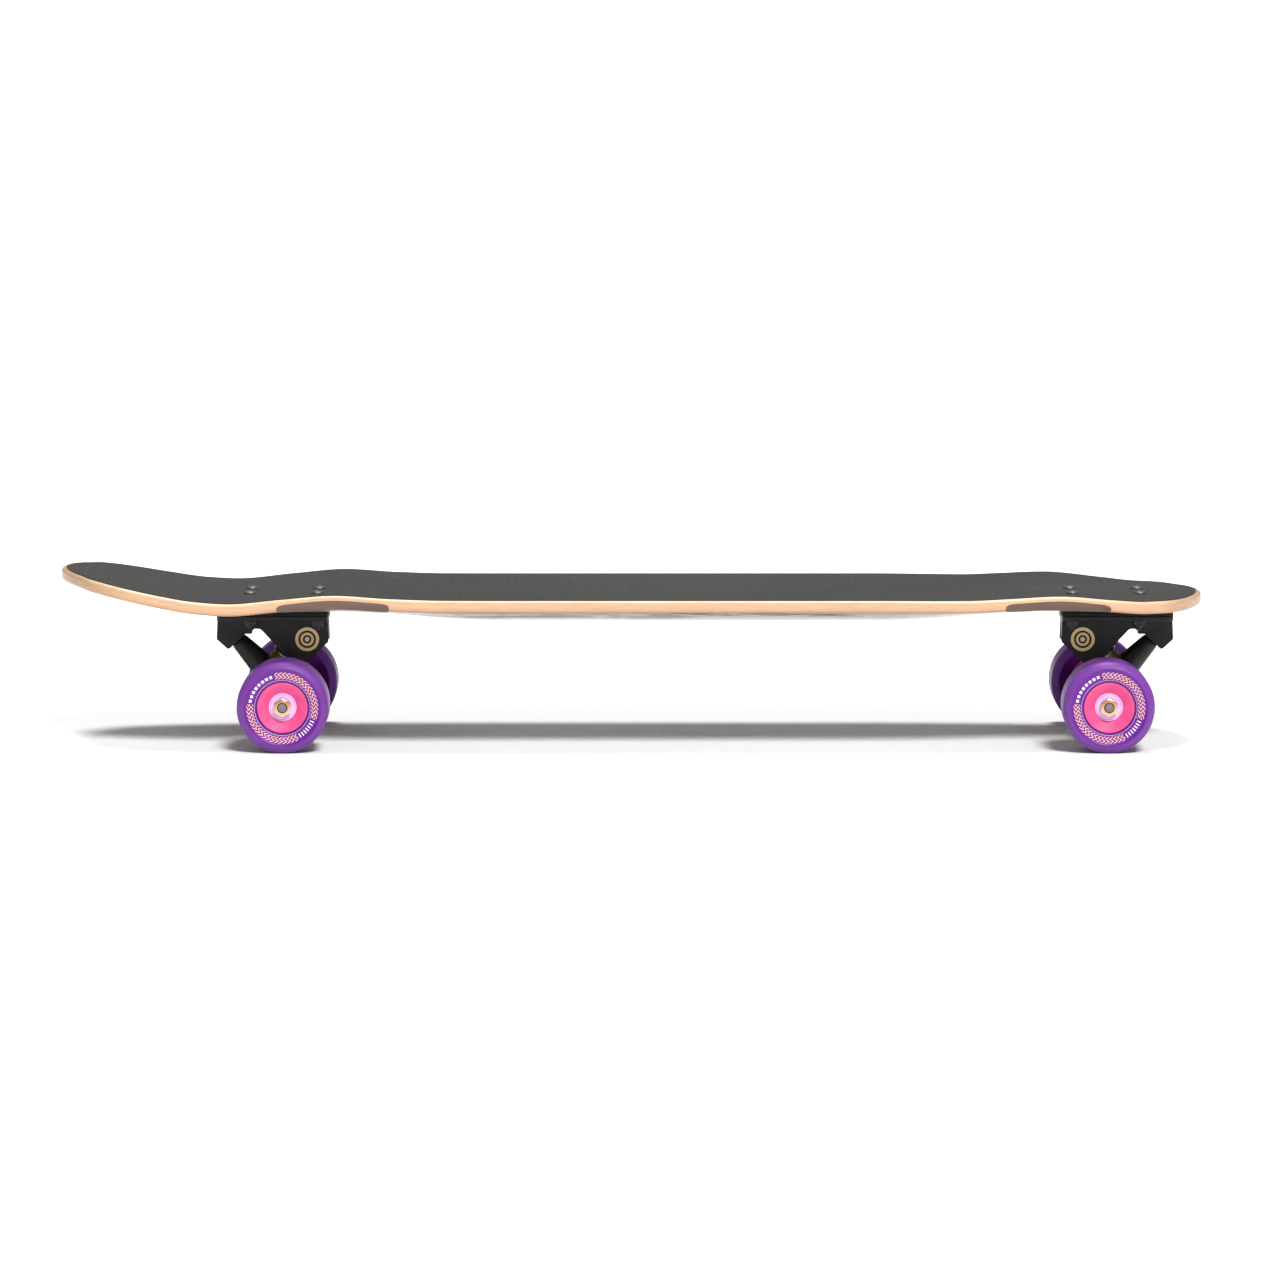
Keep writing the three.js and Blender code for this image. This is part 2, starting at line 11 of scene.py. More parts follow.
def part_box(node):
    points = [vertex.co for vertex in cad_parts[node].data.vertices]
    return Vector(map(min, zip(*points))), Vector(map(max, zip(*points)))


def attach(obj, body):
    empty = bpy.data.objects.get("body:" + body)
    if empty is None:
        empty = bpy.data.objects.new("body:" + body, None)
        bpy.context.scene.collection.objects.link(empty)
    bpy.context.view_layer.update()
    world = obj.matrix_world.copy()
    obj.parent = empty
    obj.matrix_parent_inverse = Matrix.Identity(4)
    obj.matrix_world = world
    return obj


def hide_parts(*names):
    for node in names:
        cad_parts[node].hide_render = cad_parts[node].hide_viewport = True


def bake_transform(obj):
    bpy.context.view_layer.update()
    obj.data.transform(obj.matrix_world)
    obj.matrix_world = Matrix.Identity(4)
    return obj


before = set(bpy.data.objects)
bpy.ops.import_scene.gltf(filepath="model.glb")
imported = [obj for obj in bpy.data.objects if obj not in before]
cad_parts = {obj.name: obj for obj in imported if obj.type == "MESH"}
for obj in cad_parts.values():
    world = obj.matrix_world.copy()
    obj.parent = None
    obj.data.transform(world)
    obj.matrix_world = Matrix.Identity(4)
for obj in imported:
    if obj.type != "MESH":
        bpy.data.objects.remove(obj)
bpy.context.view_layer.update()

MM = 0.001
TAU = 2 * math.pi
TRUCK_SIDES = {"tail": 1, "nose": -1}
WHEEL_SIDES = {"right": -1, "left": 1}


# ---------------------------------------------------------------- nodes

class Shader:
    """A material whose nodes are added by short calls. Its output is a Principled shader."""

    def __init__(self, name):
        self.material = bpy.data.materials.new(name)
        self.material.use_nodes = True
        self.nodes = self.material.node_tree.nodes
        self.links = self.material.node_tree.links
        self.surface = self.nodes["Principled BSDF"]

    def set(self, **values):
        """Uniform values on the shader's own sockets, such as roughness=0.5."""
        for name, value in values.items():
            self.put(self.surface.inputs[name.replace("_", " ").title().replace("Ior", "IOR")], value)
        return self

    def put(self, socket, value):
        if isinstance(value, bpy.types.NodeSocket):
            self.links.new(value, socket)
        elif isinstance(value, (tuple, list)) and len(value) == 3 and socket.type == "RGBA":
            socket.default_value = (*value, 1)
        else:
            socket.default_value = value

    def node(self, kind, output=0, props=None, **inputs):
        made = self.nodes.new(kind)
        for name, value in (props or {}).items():
            setattr(made, name, value)
        for name, value in inputs.items():
            socket = made.inputs[int(name[1:])] if name[1:].isdigit() else made.inputs[name.replace("_", " ")]
            self.put(socket, value)
        return made.outputs[output]

    def place(self):
        return self.node("ShaderNodeTexCoord", "Object")

    def attribute(self, name):
        return self.node("ShaderNodeAttribute", "Fac", {"attribute_name": name})

    def uv(self, name):
        return self.node("ShaderNodeUVMap", 0, {"uv_map": name})

    def stretched(self, scale, turn=(0, 0, 0), source=None):
        return self.node("ShaderNodeMapping", Vector=source or self.place(), Scale=scale, Rotation=turn)

    def noise(self, scale, detail=3.0, roughness=0.5, source=None):
        source = source or self.place()
        return self.node("ShaderNodeTexNoise", "Fac", Vector=source, Scale=scale, Detail=detail,
                         Roughness=roughness)

    def math(self, operation, a, b=0.0):
        return self.node("ShaderNodeMath", 0, {"operation": operation}, _0=a, _1=b)

    def times(self, a, b):
        return self.math("MULTIPLY", a, b)

    def between(self, value, low, high, soft):
        """1 where value lies from low to high, with edges of width soft."""
        rise = self.span(value, low - soft, low + soft)
        fall = self.span(value, high + soft, high - soft)
        return self.times(rise, fall)

    def span(self, value, low, high, to_low=0.0, to_high=1.0):
        return self.node("ShaderNodeMapRange", Value=value, From_Min=low, From_Max=high, To_Min=to_low,
                         To_Max=to_high)

    def ramp(self, value, stops):
        made = self.nodes.new("ShaderNodeValToRGB")
        self.put(made.inputs[0], value)
        ramp = made.color_ramp
        while len(ramp.elements) < len(stops):
            ramp.elements.new(0.5)
        for element, (at, color) in zip(ramp.elements, stops):
            element.position = at
            element.color = (*color, 1)
        return made.outputs[0]

    def mix(self, amount, a, b):
        made = self.nodes.new("ShaderNodeMix")
        made.data_type = "RGBA"
        self.put(made.inputs[0], amount)
        self.put(made.inputs[6], a)
        self.put(made.inputs[7], b)
        return made.outputs[2]

    def colour(self, value):
        self.put(self.surface.inputs["Base Color"], value)
        return self

    def rough(self, value):
        self.put(self.surface.inputs["Roughness"], value)
        return self

    def relief(self, height, distance, strength):
        bump = self.node("ShaderNodeBump", Height=height, Distance=distance, Strength=strength)
        self.put(self.surface.inputs["Normal"], bump)
        return self

    def mottled(self, value, low, high, start=0.3, end=0.7):
        """A base colour that goes from low to high as the value goes from start to end."""
        return self.colour(self.mix(self.span(value, start, end), low, high))

    def sheen(self, value, low, high):
        """A roughness that goes from low to high with a noise."""
        return self.rough(self.span(value, 0.3, 0.7, low, high))


STUDIO_SHARE = 0.86


def srgb(red, green, blue):
    """A colour given from 0 to 255, on the shader's linear scale and toned down for the bright studio."""
    def linear(c):
        c /= 255
        return c / 12.92 if c <= 0.04045 else ((c + 0.055) / 1.055) ** 2.4
    return tuple(STUDIO_SHARE * linear(c) for c in (red, green, blue))


# ---------------------------------------------------------------- materials

def maple():
    """Clear-coated maple plies, seen on the rail: grain along the board and a faint line per glue joint.
    The colours down the plies differ from ply to ply. They also paint a highlight along the top of the
    rail and shade along its bottom edge, and the tips are painted darker as shade where the rail turns
    to face the ends."""
    s = Shader("maple_ply")
    ply = s.attribute("ply")
    # Ply colours: partly the plies' own tones, partly painted light, lighter at the top of the rail as a
    # painted highlight and dark at the bottom edge as painted shade.
    base = s.ramp(ply, [
        (0.0, srgb(236, 212, 178)), (0.12, srgb(232, 201, 163)), (0.30, srgb(219, 180, 142)),
        (0.50, srgb(223, 184, 145)), (0.68, srgb(217, 173, 136)), (0.86, srgb(210, 164, 130)),
        (1.0, srgb(160, 126, 100)),
    ])
    grain = s.noise(1.0, 5, 0.6, s.stretched((55, 420, 900)))
    cloud = s.noise(1.0, 2, 0.5, s.stretched((9, 9, 60)))
    streaked = s.mix(s.span(grain, 0.35, 0.7, 0.0, 0.45), base, srgb(188, 138, 98))
    warmed = s.mix(s.span(cloud, 0.45, 0.7, 0.0, 0.28), streaked, srgb(226, 170, 134))
    layer = s.math("FRACT", s.times(ply, 7.0))
    glue = s.between(layer, 0.93, 0.99, 0.03)
    lined = s.mix(s.times(glue, 0.22), warmed, srgb(170, 120, 82))
    fleck = s.span(s.noise(1.0, 2, 0.7, s.stretched((210, 900, 1500))), 0.68, 0.76)
    flecked = s.mix(s.times(fleck, 0.3), lined, srgb(150, 100, 68))
    # Painted shade on the tips: the rail darkens to these browns where it turns to face the ends of the
    # board.
    rings = s.noise(1.0, 4, 0.6, s.stretched((120, 120, 700)))
    tips = s.mix(s.span(rings, 0.35, 0.65), srgb(190, 150, 112), srgb(146, 108, 78))
    s.colour(s.mix(s.span(s.attribute("endgrain"), 0.3, 0.95, 0.0, 0.7), flecked, tips))
    s.rough(s.span(grain, 0.3, 0.8, 0.38, 0.52)).relief(grain, 0.00006, 0.5)
    return s.set(coat_weight=0.25, coat_roughness=0.25).material


def sanded_well():
    """The stained, sanded bevel over a wheel, with the plies showing as faint contour lines."""
    s = Shader("sanded_well")
    ply = s.attribute("ply")
    blotch = s.noise(1.0, 3, 0.5, s.stretched((30, 60, 60)))
    base = s.mix(s.span(blotch, 0.35, 0.65), srgb(112, 90, 78), srgb(130, 106, 91))
    layer = s.math("FRACT", s.times(ply, 7.0))
    lined = s.mix(s.times(s.between(layer, 0.86, 0.98, 0.05), 0.35), base, srgb(86, 66, 56))
    scratch = s.noise(1.0, 4, 0.7, s.stretched((160, 2600, 2600), (0, 0.3, 0)))
    s.colour(s.mix(s.span(scratch, 0.5, 0.8, 0.0, 0.25), lined, srgb(156, 130, 112)))
    s.rough(0.7).relief(scratch, 0.00008, 0.5)
    return s.material


def underside_paint():
    """Pale grey lacquer with loose dark brush strokes."""
    s = Shader("underside_paint")
    wash = s.noise(1.0, 4, 0.6, s.stretched((6, 14, 6)))
    base = s.mix(s.span(wash, 0.3, 0.7), srgb(158, 156, 154), srgb(174, 172, 170))
    strokes = []
    for turn, along in ((0.35, 0.0), (-0.5, 3.7)):
        place = s.node("ShaderNodeVectorMath", 0, {"operation": "ADD"}, _0=s.place(), _1=(along, 0, 0))
        turned = s.stretched((7, 60, 7), (0, 0, turn), place)
        strokes.append(s.span(s.noise(1.0, 5, 0.65, turned), 0.56, 0.58))
    patch = s.span(s.noise(11.0, 3, 0.6), 0.36, 0.39)
    ink = s.times(s.math("MAXIMUM", strokes[0], strokes[1]), patch)
    dry = s.span(s.noise(1.0, 3, 0.6, s.stretched((60, 900, 60), (0, 0, 0.35))), 0.3, 0.5, 0.6, 1.0)
    s.colour(s.mix(s.times(ink, dry), base, srgb(40, 38, 37)))
    s.sheen(wash, 0.28, 0.4)
    return s.set(coat_weight=0.4, coat_roughness=0.15).material


def griptape():
    """Charcoal abrasive sheet: fine grit, small pale grains and faint scuffs, with painted shade in small
    dark pits and painted glints on the grit.
    """
    s = Shader("griptape")
    grit = s.noise(2600.0, 2, 0.8)
    grains = s.node("ShaderNodeTexVoronoi", "Distance", None, Vector=s.place(), Scale=1500.0)
    cloud = s.noise(1.0, 2, 0.5, s.stretched((5, 9, 5)))
    base = s.mix(s.span(cloud, 0.3, 0.7), srgb(51, 50, 50), srgb(57, 56, 55))
    coarse = s.span(s.noise(720.0, 2, 0.6), 0.52, 0.68, 0.0, 0.5)
    clustered = s.mix(s.times(coarse, s.span(cloud, 0.2, 0.8, 0.35, 0.75)), base, srgb(96, 95, 94))
    speckled = s.mix(s.span(grit, 0.55, 0.72, 0.0, 0.4), clustered, srgb(108, 106, 104))
    # Painted shade: small dark dots where the hollows between the grains fall in shade.
    shaded_pits = s.mix(s.span(grains, 0.0, 0.25, 0.45, 0.0), speckled, srgb(24, 23, 23))
    # Painted glints: pale specks standing for light caught by the grit.
    painted_glint = s.span(s.noise(1900.0, 1, 0.5), 0.70, 0.74)
    s.colour(s.mix(s.times(painted_glint, 0.6), shaded_pits, srgb(190, 188, 184)))
    s.sheen(grit, 0.75, 0.95).relief(grit, 0.00025, 0.8)
    return s.set(specular_ior_level=0.3).material


def powder_coat(name, low, high):
    """Satin black coating with a fine orange-peel and slightly varied sheen."""
    s = Shader(name)
    peel = s.noise(900.0, 2, 0.5)
    cloud = s.noise(60.0, 3, 0.6)
    s.mottled(cloud, low, high)
    s.sheen(cloud, 0.37, 0.52).relief(peel, 0.00012, 0.35)
    return s.set(specular_ior_level=0.3).material


def riser_rubber():
    s = Shader("riser_rubber")
    pores = s.noise(1600.0, 3, 0.6)
    cloud = s.noise(90.0, 2, 0.5)
    s.mottled(cloud, srgb(17, 17, 17), srgb(26, 25, 25))
    s.sheen(pores, 0.6, 0.8).relief(pores, 0.0001, 0.5)
    return s.set(specular_ior_level=0.25).material


PRINT_SCALE = 40
RING_LOW = 23.0
RING_HIGH = 28.4
RING_TEETH = 50
MARK_RADIUS = 25.8
FACE_RADIUS = 30.4


def urethane():
    """Purple cast urethane with a printed copper ring, two runs of pale marks and a thin pale line.
    The "print" map holds the angle round the wheel, from 0 to 1, and the radius over PRINT_SCALE.
    Radii are in millimetres."""
    s = Shader("purple_urethane")
    split = s.nodes.new("ShaderNodeSeparateXYZ")
    s.put(split.inputs[0], s.uv("print"))
    turn, reach = split.outputs[0], s.times(split.outputs[1], PRINT_SCALE)
    cloud = s.noise(45.0, 3, 0.5)
    ground = s.mix(s.span(cloud, 0.3, 0.7), srgb(108, 52, 142), srgb(118, 58, 152))
    moulded = s.mix(s.span(cloud, 0.3, 0.7), srgb(99, 25, 138), srgb(108, 31, 147))
    # Painted shade: the face darkens in the narrow groove next to the core.
    lip = s.mix(s.span(reach, 20.6, 21.8), srgb(84, 14, 120), moulded)
    body = s.mix(s.span(reach, FACE_RADIUS - 0.3, FACE_RADIUS + 1.2), lip, ground)
    outward = s.attribute("face")

    sway = s.math("PINGPONG", s.math("SUBTRACT", reach, RING_LOW), 1.8)
    weave = s.math("FRACT", s.math("ADD", s.times(turn, RING_TEETH), s.times(sway, 0.5)))
    threads = s.between(weave, 0.30, 0.72, 0.04)
    band = s.between(reach, RING_LOW, RING_HIGH, 0.05)
    gap_one = s.between(turn, 0.286, 0.482, 0.0005)
    gap_two = s.between(turn, 0.828, 0.945, 0.0005)
    gaps = s.math("MAXIMUM", gap_one, gap_two)
    copper = s.times(s.times(band, threads), s.math("SUBTRACT", 1.0, gaps))

    around = TAU * MARK_RADIUS

    def marks(count, half_length, half_width, first, last):
        cell = s.math("SUBTRACT", s.math("FRACT", s.times(turn, count)), 0.5)
        along = s.math("ABSOLUTE", s.times(cell, around / count))
        across = s.math("ABSOLUTE", s.math("SUBTRACT", reach, MARK_RADIUS))
        shape = s.times(s.span(along, half_length + 0.1, half_length - 0.1),
                        s.span(across, half_width + 0.1, half_width - 0.1))
        return s.times(shape, s.between(turn, first, last, 0.0005))
    pale = s.math("MAXIMUM", marks(44, 1.1, 1.1, 0.2955, 0.4773), marks(66, 0.45, 1.7, 0.8333, 0.9394))
    line = s.times(s.between(reach, 21.85, 22.1, 0.04), 0.75)
    pale = s.times(s.math("MAXIMUM", pale, line), outward)

    inked = s.mix(s.times(copper, outward), body, srgb(248, 186, 160))
    s.colour(s.mix(pale, inked, srgb(248, 238, 250)))
    s.sheen(cloud, 0.36, 0.46).relief(s.noise(700.0, 2, 0.5), 0.00005, 0.3)
    s.set(subsurface_weight=0.08, subsurface_radius=(0.004, 0.001, 0.005), specular_ior_level=0.3)
    return s.material


def pink_plastic():
    s = Shader("pink_core")
    cloud = s.noise(120.0, 3, 0.5)
    s.mottled(cloud, srgb(226, 72, 134), srgb(236, 84, 146))
    s.sheen(cloud, 0.46, 0.56).relief(s.noise(1200.0, 2, 0.5), 0.00003, 0.3)
    return s.set(subsurface_weight=0.08, subsurface_radius=(0.004, 0.0015, 0.002)).material


def shield_pink():
    """The pale pressed shield of a bearing, with fine turning marks."""
    s = Shader("bearing_shield")
    cloud = s.noise(300.0, 3, 0.5)
    s.mottled(cloud, srgb(226, 186, 236), srgb(238, 202, 248))
    s.sheen(cloud, 0.3, 0.42)
    return s.set(metallic=0.1).material


def metal(name, low, high, roughness, metallic=1.0):
    """Turned or plated metal with slight wear and cloudy polish."""
    s = Shader(name)
    wear = s.noise(500.0, 4, 0.6)
    s.mottled(wear, low, high, 0.35, 0.65)
    s.sheen(wear, roughness - 0.06, roughness + 0.1).relief(wear, 0.00003, 0.3)
    return s.set(metallic=metallic).material


def shaded_amber():
    s = Shader("amber_bushing")
    cloud = s.noise(150.0, 3, 0.5)
    # Amber darkened to olive: partly the bushing's own amber, partly painted shade for the shadow it sits in
    # between baseplate and hanger.
    s.mottled(cloud, srgb(84, 68, 26), srgb(102, 84, 34))
    s.sheen(cloud, 0.3, 0.42)
    return s.set(subsurface_weight=0.2, subsurface_radius=(0.006, 0.003, 0.001)).material


def plain_plastic(name, low, high):
    s = Shader(name)
    grain = s.noise(1400.0, 2, 0.5)
    s.mottled(s.noise(80.0), low, high)
    s.sheen(grain, 0.4, 0.55).relief(grain, 0.00004, 0.3)
    return s.material


def emblem_ink():
    """Tan foil on the truck's side."""
    s = Shader("tan_emblem")
    rub = s.noise(900.0, 4, 0.7)
    s.colour(s.mix(s.span(rub, 0.5, 0.75, 0.0, 0.6), srgb(228, 196, 142), srgb(178, 146, 100)))
    s.rough(0.4)
    return s.set(metallic=0.3).material


MATERIALS = {
    "maple": maple(),
    "well": sanded_well(),
    "paint": underside_paint(),
    "grip": griptape(),
    # The grip sheet's cut edge: partly its dark backing, partly painted shade for the shadow line along the
    # gap over the rail.
    "backing_and_gap_shade": plain_plastic("grip_backing", srgb(22, 21, 21), srgb(30, 29, 29)),
    "black": powder_coat("satin_black", srgb(21, 20, 20), srgb(28, 26, 26)),
    "riser": riser_rubber(),
    "urethane": urethane(),
    "pink": pink_plastic(),
    "shield": shield_pink(),
    "steel": metal("bearing_steel", srgb(190, 186, 186), srgb(214, 208, 208), 0.25),
    "gold": metal("gold_nut", srgb(236, 188, 148), srgb(248, 206, 168), 0.3),
    "axle": metal("axle_steel", srgb(120, 117, 110), srgb(150, 146, 138), 0.35),
    "bolt": metal("grey_oxide", srgb(92, 91, 92), srgb(114, 112, 113), 0.4, 0.6),
    "nut": metal("black_oxide", srgb(38, 37, 38), srgb(54, 53, 54), 0.36, 0.6),
    "washer": metal("washer_steel", srgb(176, 172, 166), srgb(200, 196, 190), 0.25),
    "shaded_amber": shaded_amber(),
    "cup": plain_plastic("cup_plastic", srgb(20, 20, 20), srgb(30, 30, 30)),
    "nylon": plain_plastic("nylon_ring", srgb(222, 220, 210), srgb(236, 234, 226)),
    "emblem": emblem_ink(),
}


# ---------------------------------------------------------------- shape helpers
# Outlines, profiles and places are in millimetres. The points and matrices made from them are in metres.

CREASE = 32
BEVEL_STEPS = 3
ON_THE_LINE = 0.0001
CAST_VOXEL = 0.75
CAST_SMOOTHING = 3
CAST_KEPT_SHARE = 0.45


def linked(name, data):
    """A new object in the scene."""
    made = bpy.data.objects.new(name, data)
    bpy.context.scene.collection.objects.link(made)
    return made


def loose(name, part):
    """A new object made from (points, faces)."""
    mesh = bpy.data.meshes.new(name)
    mesh.from_pydata([tuple(p) for p in part[0]], [], part[1])
    return linked(name, mesh)


def piece(name, part, body, materials, replaces=(), matrix=None):
    """A smooth-shaded mesh with sharp edges past the crease angle, riding on a body."""
    made = loose(name, part)
    if matrix is not None:
        made.data.transform(matrix)
    for material in materials:
        made.data.materials.append(MATERIALS[material])
    made.data.validate()
    return settle(made, body, replaces)


def settle(made, body, replaces=(), crease=CREASE):
    made.data.polygons.foreach_set("use_smooth", [True] * len(made.data.polygons))
    made.data.set_sharp_from_angle(angle=math.radians(crease))
    if body:
        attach(made, body)
    if replaces:
        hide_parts(*replaces)
    return made


def shift(x, y, z):
    return Matrix.Translation((x * MM, y * MM, z * MM))


def facing(origin, direction):
    """A matrix that takes +Z at the origin to a direction at a point."""
    turn = Vector((0, 0, 1)).rotation_difference(Vector(direction)).to_matrix().to_4x4()
    return shift(*origin) @ turn


def middle_of(node):
    """The centre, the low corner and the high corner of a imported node's box."""
    low, high = (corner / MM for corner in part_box(node))
    return (low + high) / 2, low, high


def fillet(outline, radius, steps=4, closed=False):
    """Rounds the corners of a polyline. radius is one number, or one per point."""
    count = len(outline)
    radii = radius if isinstance(radius, list) else [radius] * count
    smooth = []
    for i, here in enumerate(outline):
        if not closed and i in (0, count - 1):
            smooth.append(tuple(here))
            continue
        corner = Vector(here)
        back = Vector(outline[i - 1]) - corner
        ahead = Vector(outline[(i + 1) % count]) - corner
        angle = back.angle(ahead, math.pi)
        reach = min(radii[i] / math.tan(angle / 2), back.length * 0.48, ahead.length * 0.48)
        if radii[i] == 0 or angle > 3.1:
            smooth.append(tuple(here))
            continue
        start, end = corner + back.normalized() * reach, corner + ahead.normalized() * reach
        for k in range(steps + 1):
            t = k / steps
            smooth.append(tuple(start * (1 - t) ** 2 + corner * 2 * t * (1 - t) + end * t * t))
    return smooth


def rounded(corners, steps, closed=True):
    """An outline through corners of (x, y, radius)."""
    return fillet([corner[:2] for corner in corners], [corner[2] for corner in corners], steps, closed)


def band(inner, outer, low, high):
    """The rectangular profile of a ring."""
    return [(inner, low), (outer, low), (outer, high), (inner, high)]


def spin(profile, segments, closed=True, radius_at=None):
    """Points and faces of a profile of (radius, height) turned about +Z. The profile runs anticlockwise."""
    points, rings = [], []
    for index, (radius, height) in enumerate(profile):
        if radius < ON_THE_LINE:
            rings.append([len(points)] * segments)
            points.append((0, 0, height * MM))
            continue
        rings.append(list(range(len(points), len(points) + segments)))
        for k in range(segments):
            angle = TAU * k / segments
            r, h = radius_at(index, radius, height, angle) if radius_at else (radius, height)
            points.append((r * MM * math.cos(angle), r * MM * math.sin(angle), h * MM))
    faces = []
    for low, high in zip(rings, rings[1:] + (rings[:1] if closed else [])):
        for k in range(segments):
            n = (k + 1) % segments
            corners = [low[k], low[n], high[n], high[k]]
            kept = [c for j, c in enumerate(corners) if c != corners[j - 1]]
            if len(kept) > 2:
                faces.append(kept)
    return points, faces


def rod(radius, low, high, segments):
    return spin(band(0, radius, low, high), segments, False)


def merged(*parts):
    """Joins (points, faces) pairs into one."""
    points, faces = [], []
    for more_points, more_faces in parts:
        start = len(points)
        points += list(more_points)
        faces += [[start + i for i in face] for face in more_faces]
    return points, faces


def moved(part, matrix):
    points, faces = part
    return [matrix @ Vector(p) for p in points], faces


def prism(outline, low, high, bevel=0.0):
    """An upright extrusion of a closed anticlockwise outline, with rounded top and bottom edges."""
    rings = []
    for k in range(BEVEL_STEPS + 1):
        angle = math.pi / 2 * k / BEVEL_STEPS
        rings.append((bevel * (1 - math.sin(angle)), low + bevel * (1 - math.cos(angle))))
    rings += [(inset, high + low - height) for inset, height in reversed(rings)]
    points = []
    count = len(outline)
    for inset, height in rings:
        for i, here in enumerate(outline):
            before, after = Vector(outline[i - 1]), Vector(outline[(i + 1) % count])
            along = (after - before).normalized()
            inward = Vector((-along.y, along.x)) * inset
            points.append(((here[0] + inward.x) * MM, (here[1] + inward.y) * MM, height * MM))
    faces = []
    for ring in range(len(rings) - 1):
        for i in range(count):
            n = (i + 1) % count
            a, b = ring * count, (ring + 1) * count
            faces.append([a + i, a + n, b + n, b + i])
    faces.append(list(range(count))[::-1])
    faces.append([(len(rings) - 1) * count + i for i in range(count)])
    return points, faces


def hull_of(points):
    """The convex skin round a set of points."""
    hull = bmesh.new()
    for point in points:
        hull.verts.new(point)
    bmesh.ops.convex_hull(hull, input=hull.verts)
    bmesh.ops.delete(hull, geom=[v for v in hull.verts if not v.link_faces], context="VERTS")
    hull.verts.index_update()
    part = [v.co.copy() for v in hull.verts], [[v.index for v in f.verts] for f in hull.faces]
    hull.free()
    return part


def baked(made):
    """Turns the object's modifiers into its mesh."""
    graph = bpy.context.evaluated_depsgraph_get()
    graph.update()
    fresh = bpy.data.meshes.new_from_object(made.evaluated_get(graph))
    made.modifiers.clear()
    made.data = fresh
    return made


def machined(body, part, operation="DIFFERENCE"):
    """Cuts a solid, or several that lie apart, from the body, or joins it on."""
    tool = loose(body.name + "_tool", part)
    cut = body.modifiers.new("machine", "BOOLEAN")
    cut.operation = operation
    cut.solver = "EXACT"
    cut.object = tool
    baked(body)
    bpy.data.objects.remove(tool)


def cast(name, parts):
    """Overlapping solids fused into one skin, with a soft fillet wherever they meet."""
    body = loose(name, merged(*parts))
    remesh = body.modifiers.new("fuse", "REMESH")
    remesh.mode = "VOXEL"
    remesh.voxel_size = CAST_VOXEL * MM
    smooth = body.modifiers.new("soften", "SMOOTH")
    smooth.factor = 0.5
    smooth.iterations = CAST_SMOOTHING
    fewer = body.modifiers.new("fewer", "DECIMATE")
    fewer.ratio = CAST_KEPT_SHARE
    return baked(body)


def finished(made, matrix, material):
    """Puts a cast piece in its place, with one material."""
    made.data.transform(matrix)
    made.data.materials.clear()
    made.data.materials.append(MATERIALS[material])


def rounded_plate(x0, x1, half_y, corner):
    outline = [(x1, -half_y), (x1, half_y), (x0, half_y), (x0, -half_y)]
    return fillet(outline, corner, 8, closed=True)


# ---------------------------------------------------------------- deck and griptape

DECK_ROWS = [
    # along the board, half width, top of the rail, top of the middle, in millimetres
    (-457.5, 0, 139.6, 139.4),
    (-444, 53, 138.0, 137.4),
    (-430, 77, 135.6, 134.8),
    (-402, 94.6, 130.1, 129.0),
    (-374, 102.2, 124.8, 123.6),
    (-346, 106.6, 120.5, 119.5),
    (-320, 109.4, 119.0, 118.3),
    (-276, 112, 123.2, 118.3),
    (-234, 113.8, 126.7, 118.3),
    (-192, 114.6, 124.1, 117.0),
    (-150, 115.6, 123.0, 113.4),
    (-110, 116, 123.0, 111.5),
    (200, 116, 123.0, 111.5),
    (242, 114.4, 122.6, 113.2),
    (270, 111.9, 122.4, 115.6),
    (298, 109.8, 123.5, 117.6),
    (338, 105.8, 125.3, 118.3),
    (382, 98.9, 121.4, 118.3),
    (410, 89.6, 119.1, 118.3),
    (438, 69, 119.3, 118.5),
    (457.5, 0, 120.4, 120.2),
]
HALF_LENGTH = 457.5
TIP_HALF_WIDTH = 2.5
TIP_START = 400
CONCAVE_WIDTH = 58
CONCAVE_POWER = 1.5
DECK_THICKNESS = 9.8
GRIP_THICKNESS = 0.8
SHEET_GAP = 0.1
WELLS = ((-280.6, -191.5), (295.9, 379.8))
WELL_TOP = 4.2
WELL_WIDTH = 13
WELL_END = 8
TOP_ROUND = 2.8
BOTTOM_ROUND = 3.0
GRIP_INSET = 2.2
TIP_GRIP_INSET = 4.0


def tip_arc(row):
    """The radius of the arc round one tip, through the tip and the first row in, and its slope there."""
    depth = HALF_LENGTH - abs(row[0])
    radius = (row[1] ** 2 + depth ** 2) / (2 * depth)
    return radius, math.copysign((radius - depth) / row[1], -row[0])


def column(index):
    """A smooth curve through one column of the deck's rows. The outline runs on into the tip arcs."""
    rows = DECK_ROWS

    def slope(i):
        if index == 1 and i in (1, len(rows) - 2):
            return tip_arc(rows[i])[1]
        before, here, after = rows[max(i - 1, 0)], rows[i], rows[min(i + 1, len(rows) - 1)]
        left = (here[index] - before[index]) / max(here[0] - before[0], 1e-6)
        right = (after[index] - here[index]) / max(after[0] - here[0], 1e-6)
        return 0 if left * right <= 0 else 2 * left * right / (left + right)

    def at(x):
        i = 0
        while i < len(rows) - 2 and x > rows[i + 1][0]:
            i += 1
        a, b = rows[i], rows[i + 1]
        width = b[0] - a[0]
        t = (x - a[0]) / width
        ease = t * t * (3 - 2 * t)
        return (a[index] + (b[index] - a[index]) * ease
                + width * (slope(i) * t * (1 - t) ** 2 - slope(i + 1) * t * t * (1 - t)))
    return at


width_curve, rail_top, middle_top = column(1), column(2), column(3)


def tip_circle(x):
    """The centre and radius of the arc that closes the outline, where x is past its first row."""
    row = DECK_ROWS[1] if x < 0 else DECK_ROWS[-2]
    if abs(x) <= abs(row[0]):
        return None
    radius = tip_arc(row)[0]
    return math.copysign(HALF_LENGTH - radius, x), radius


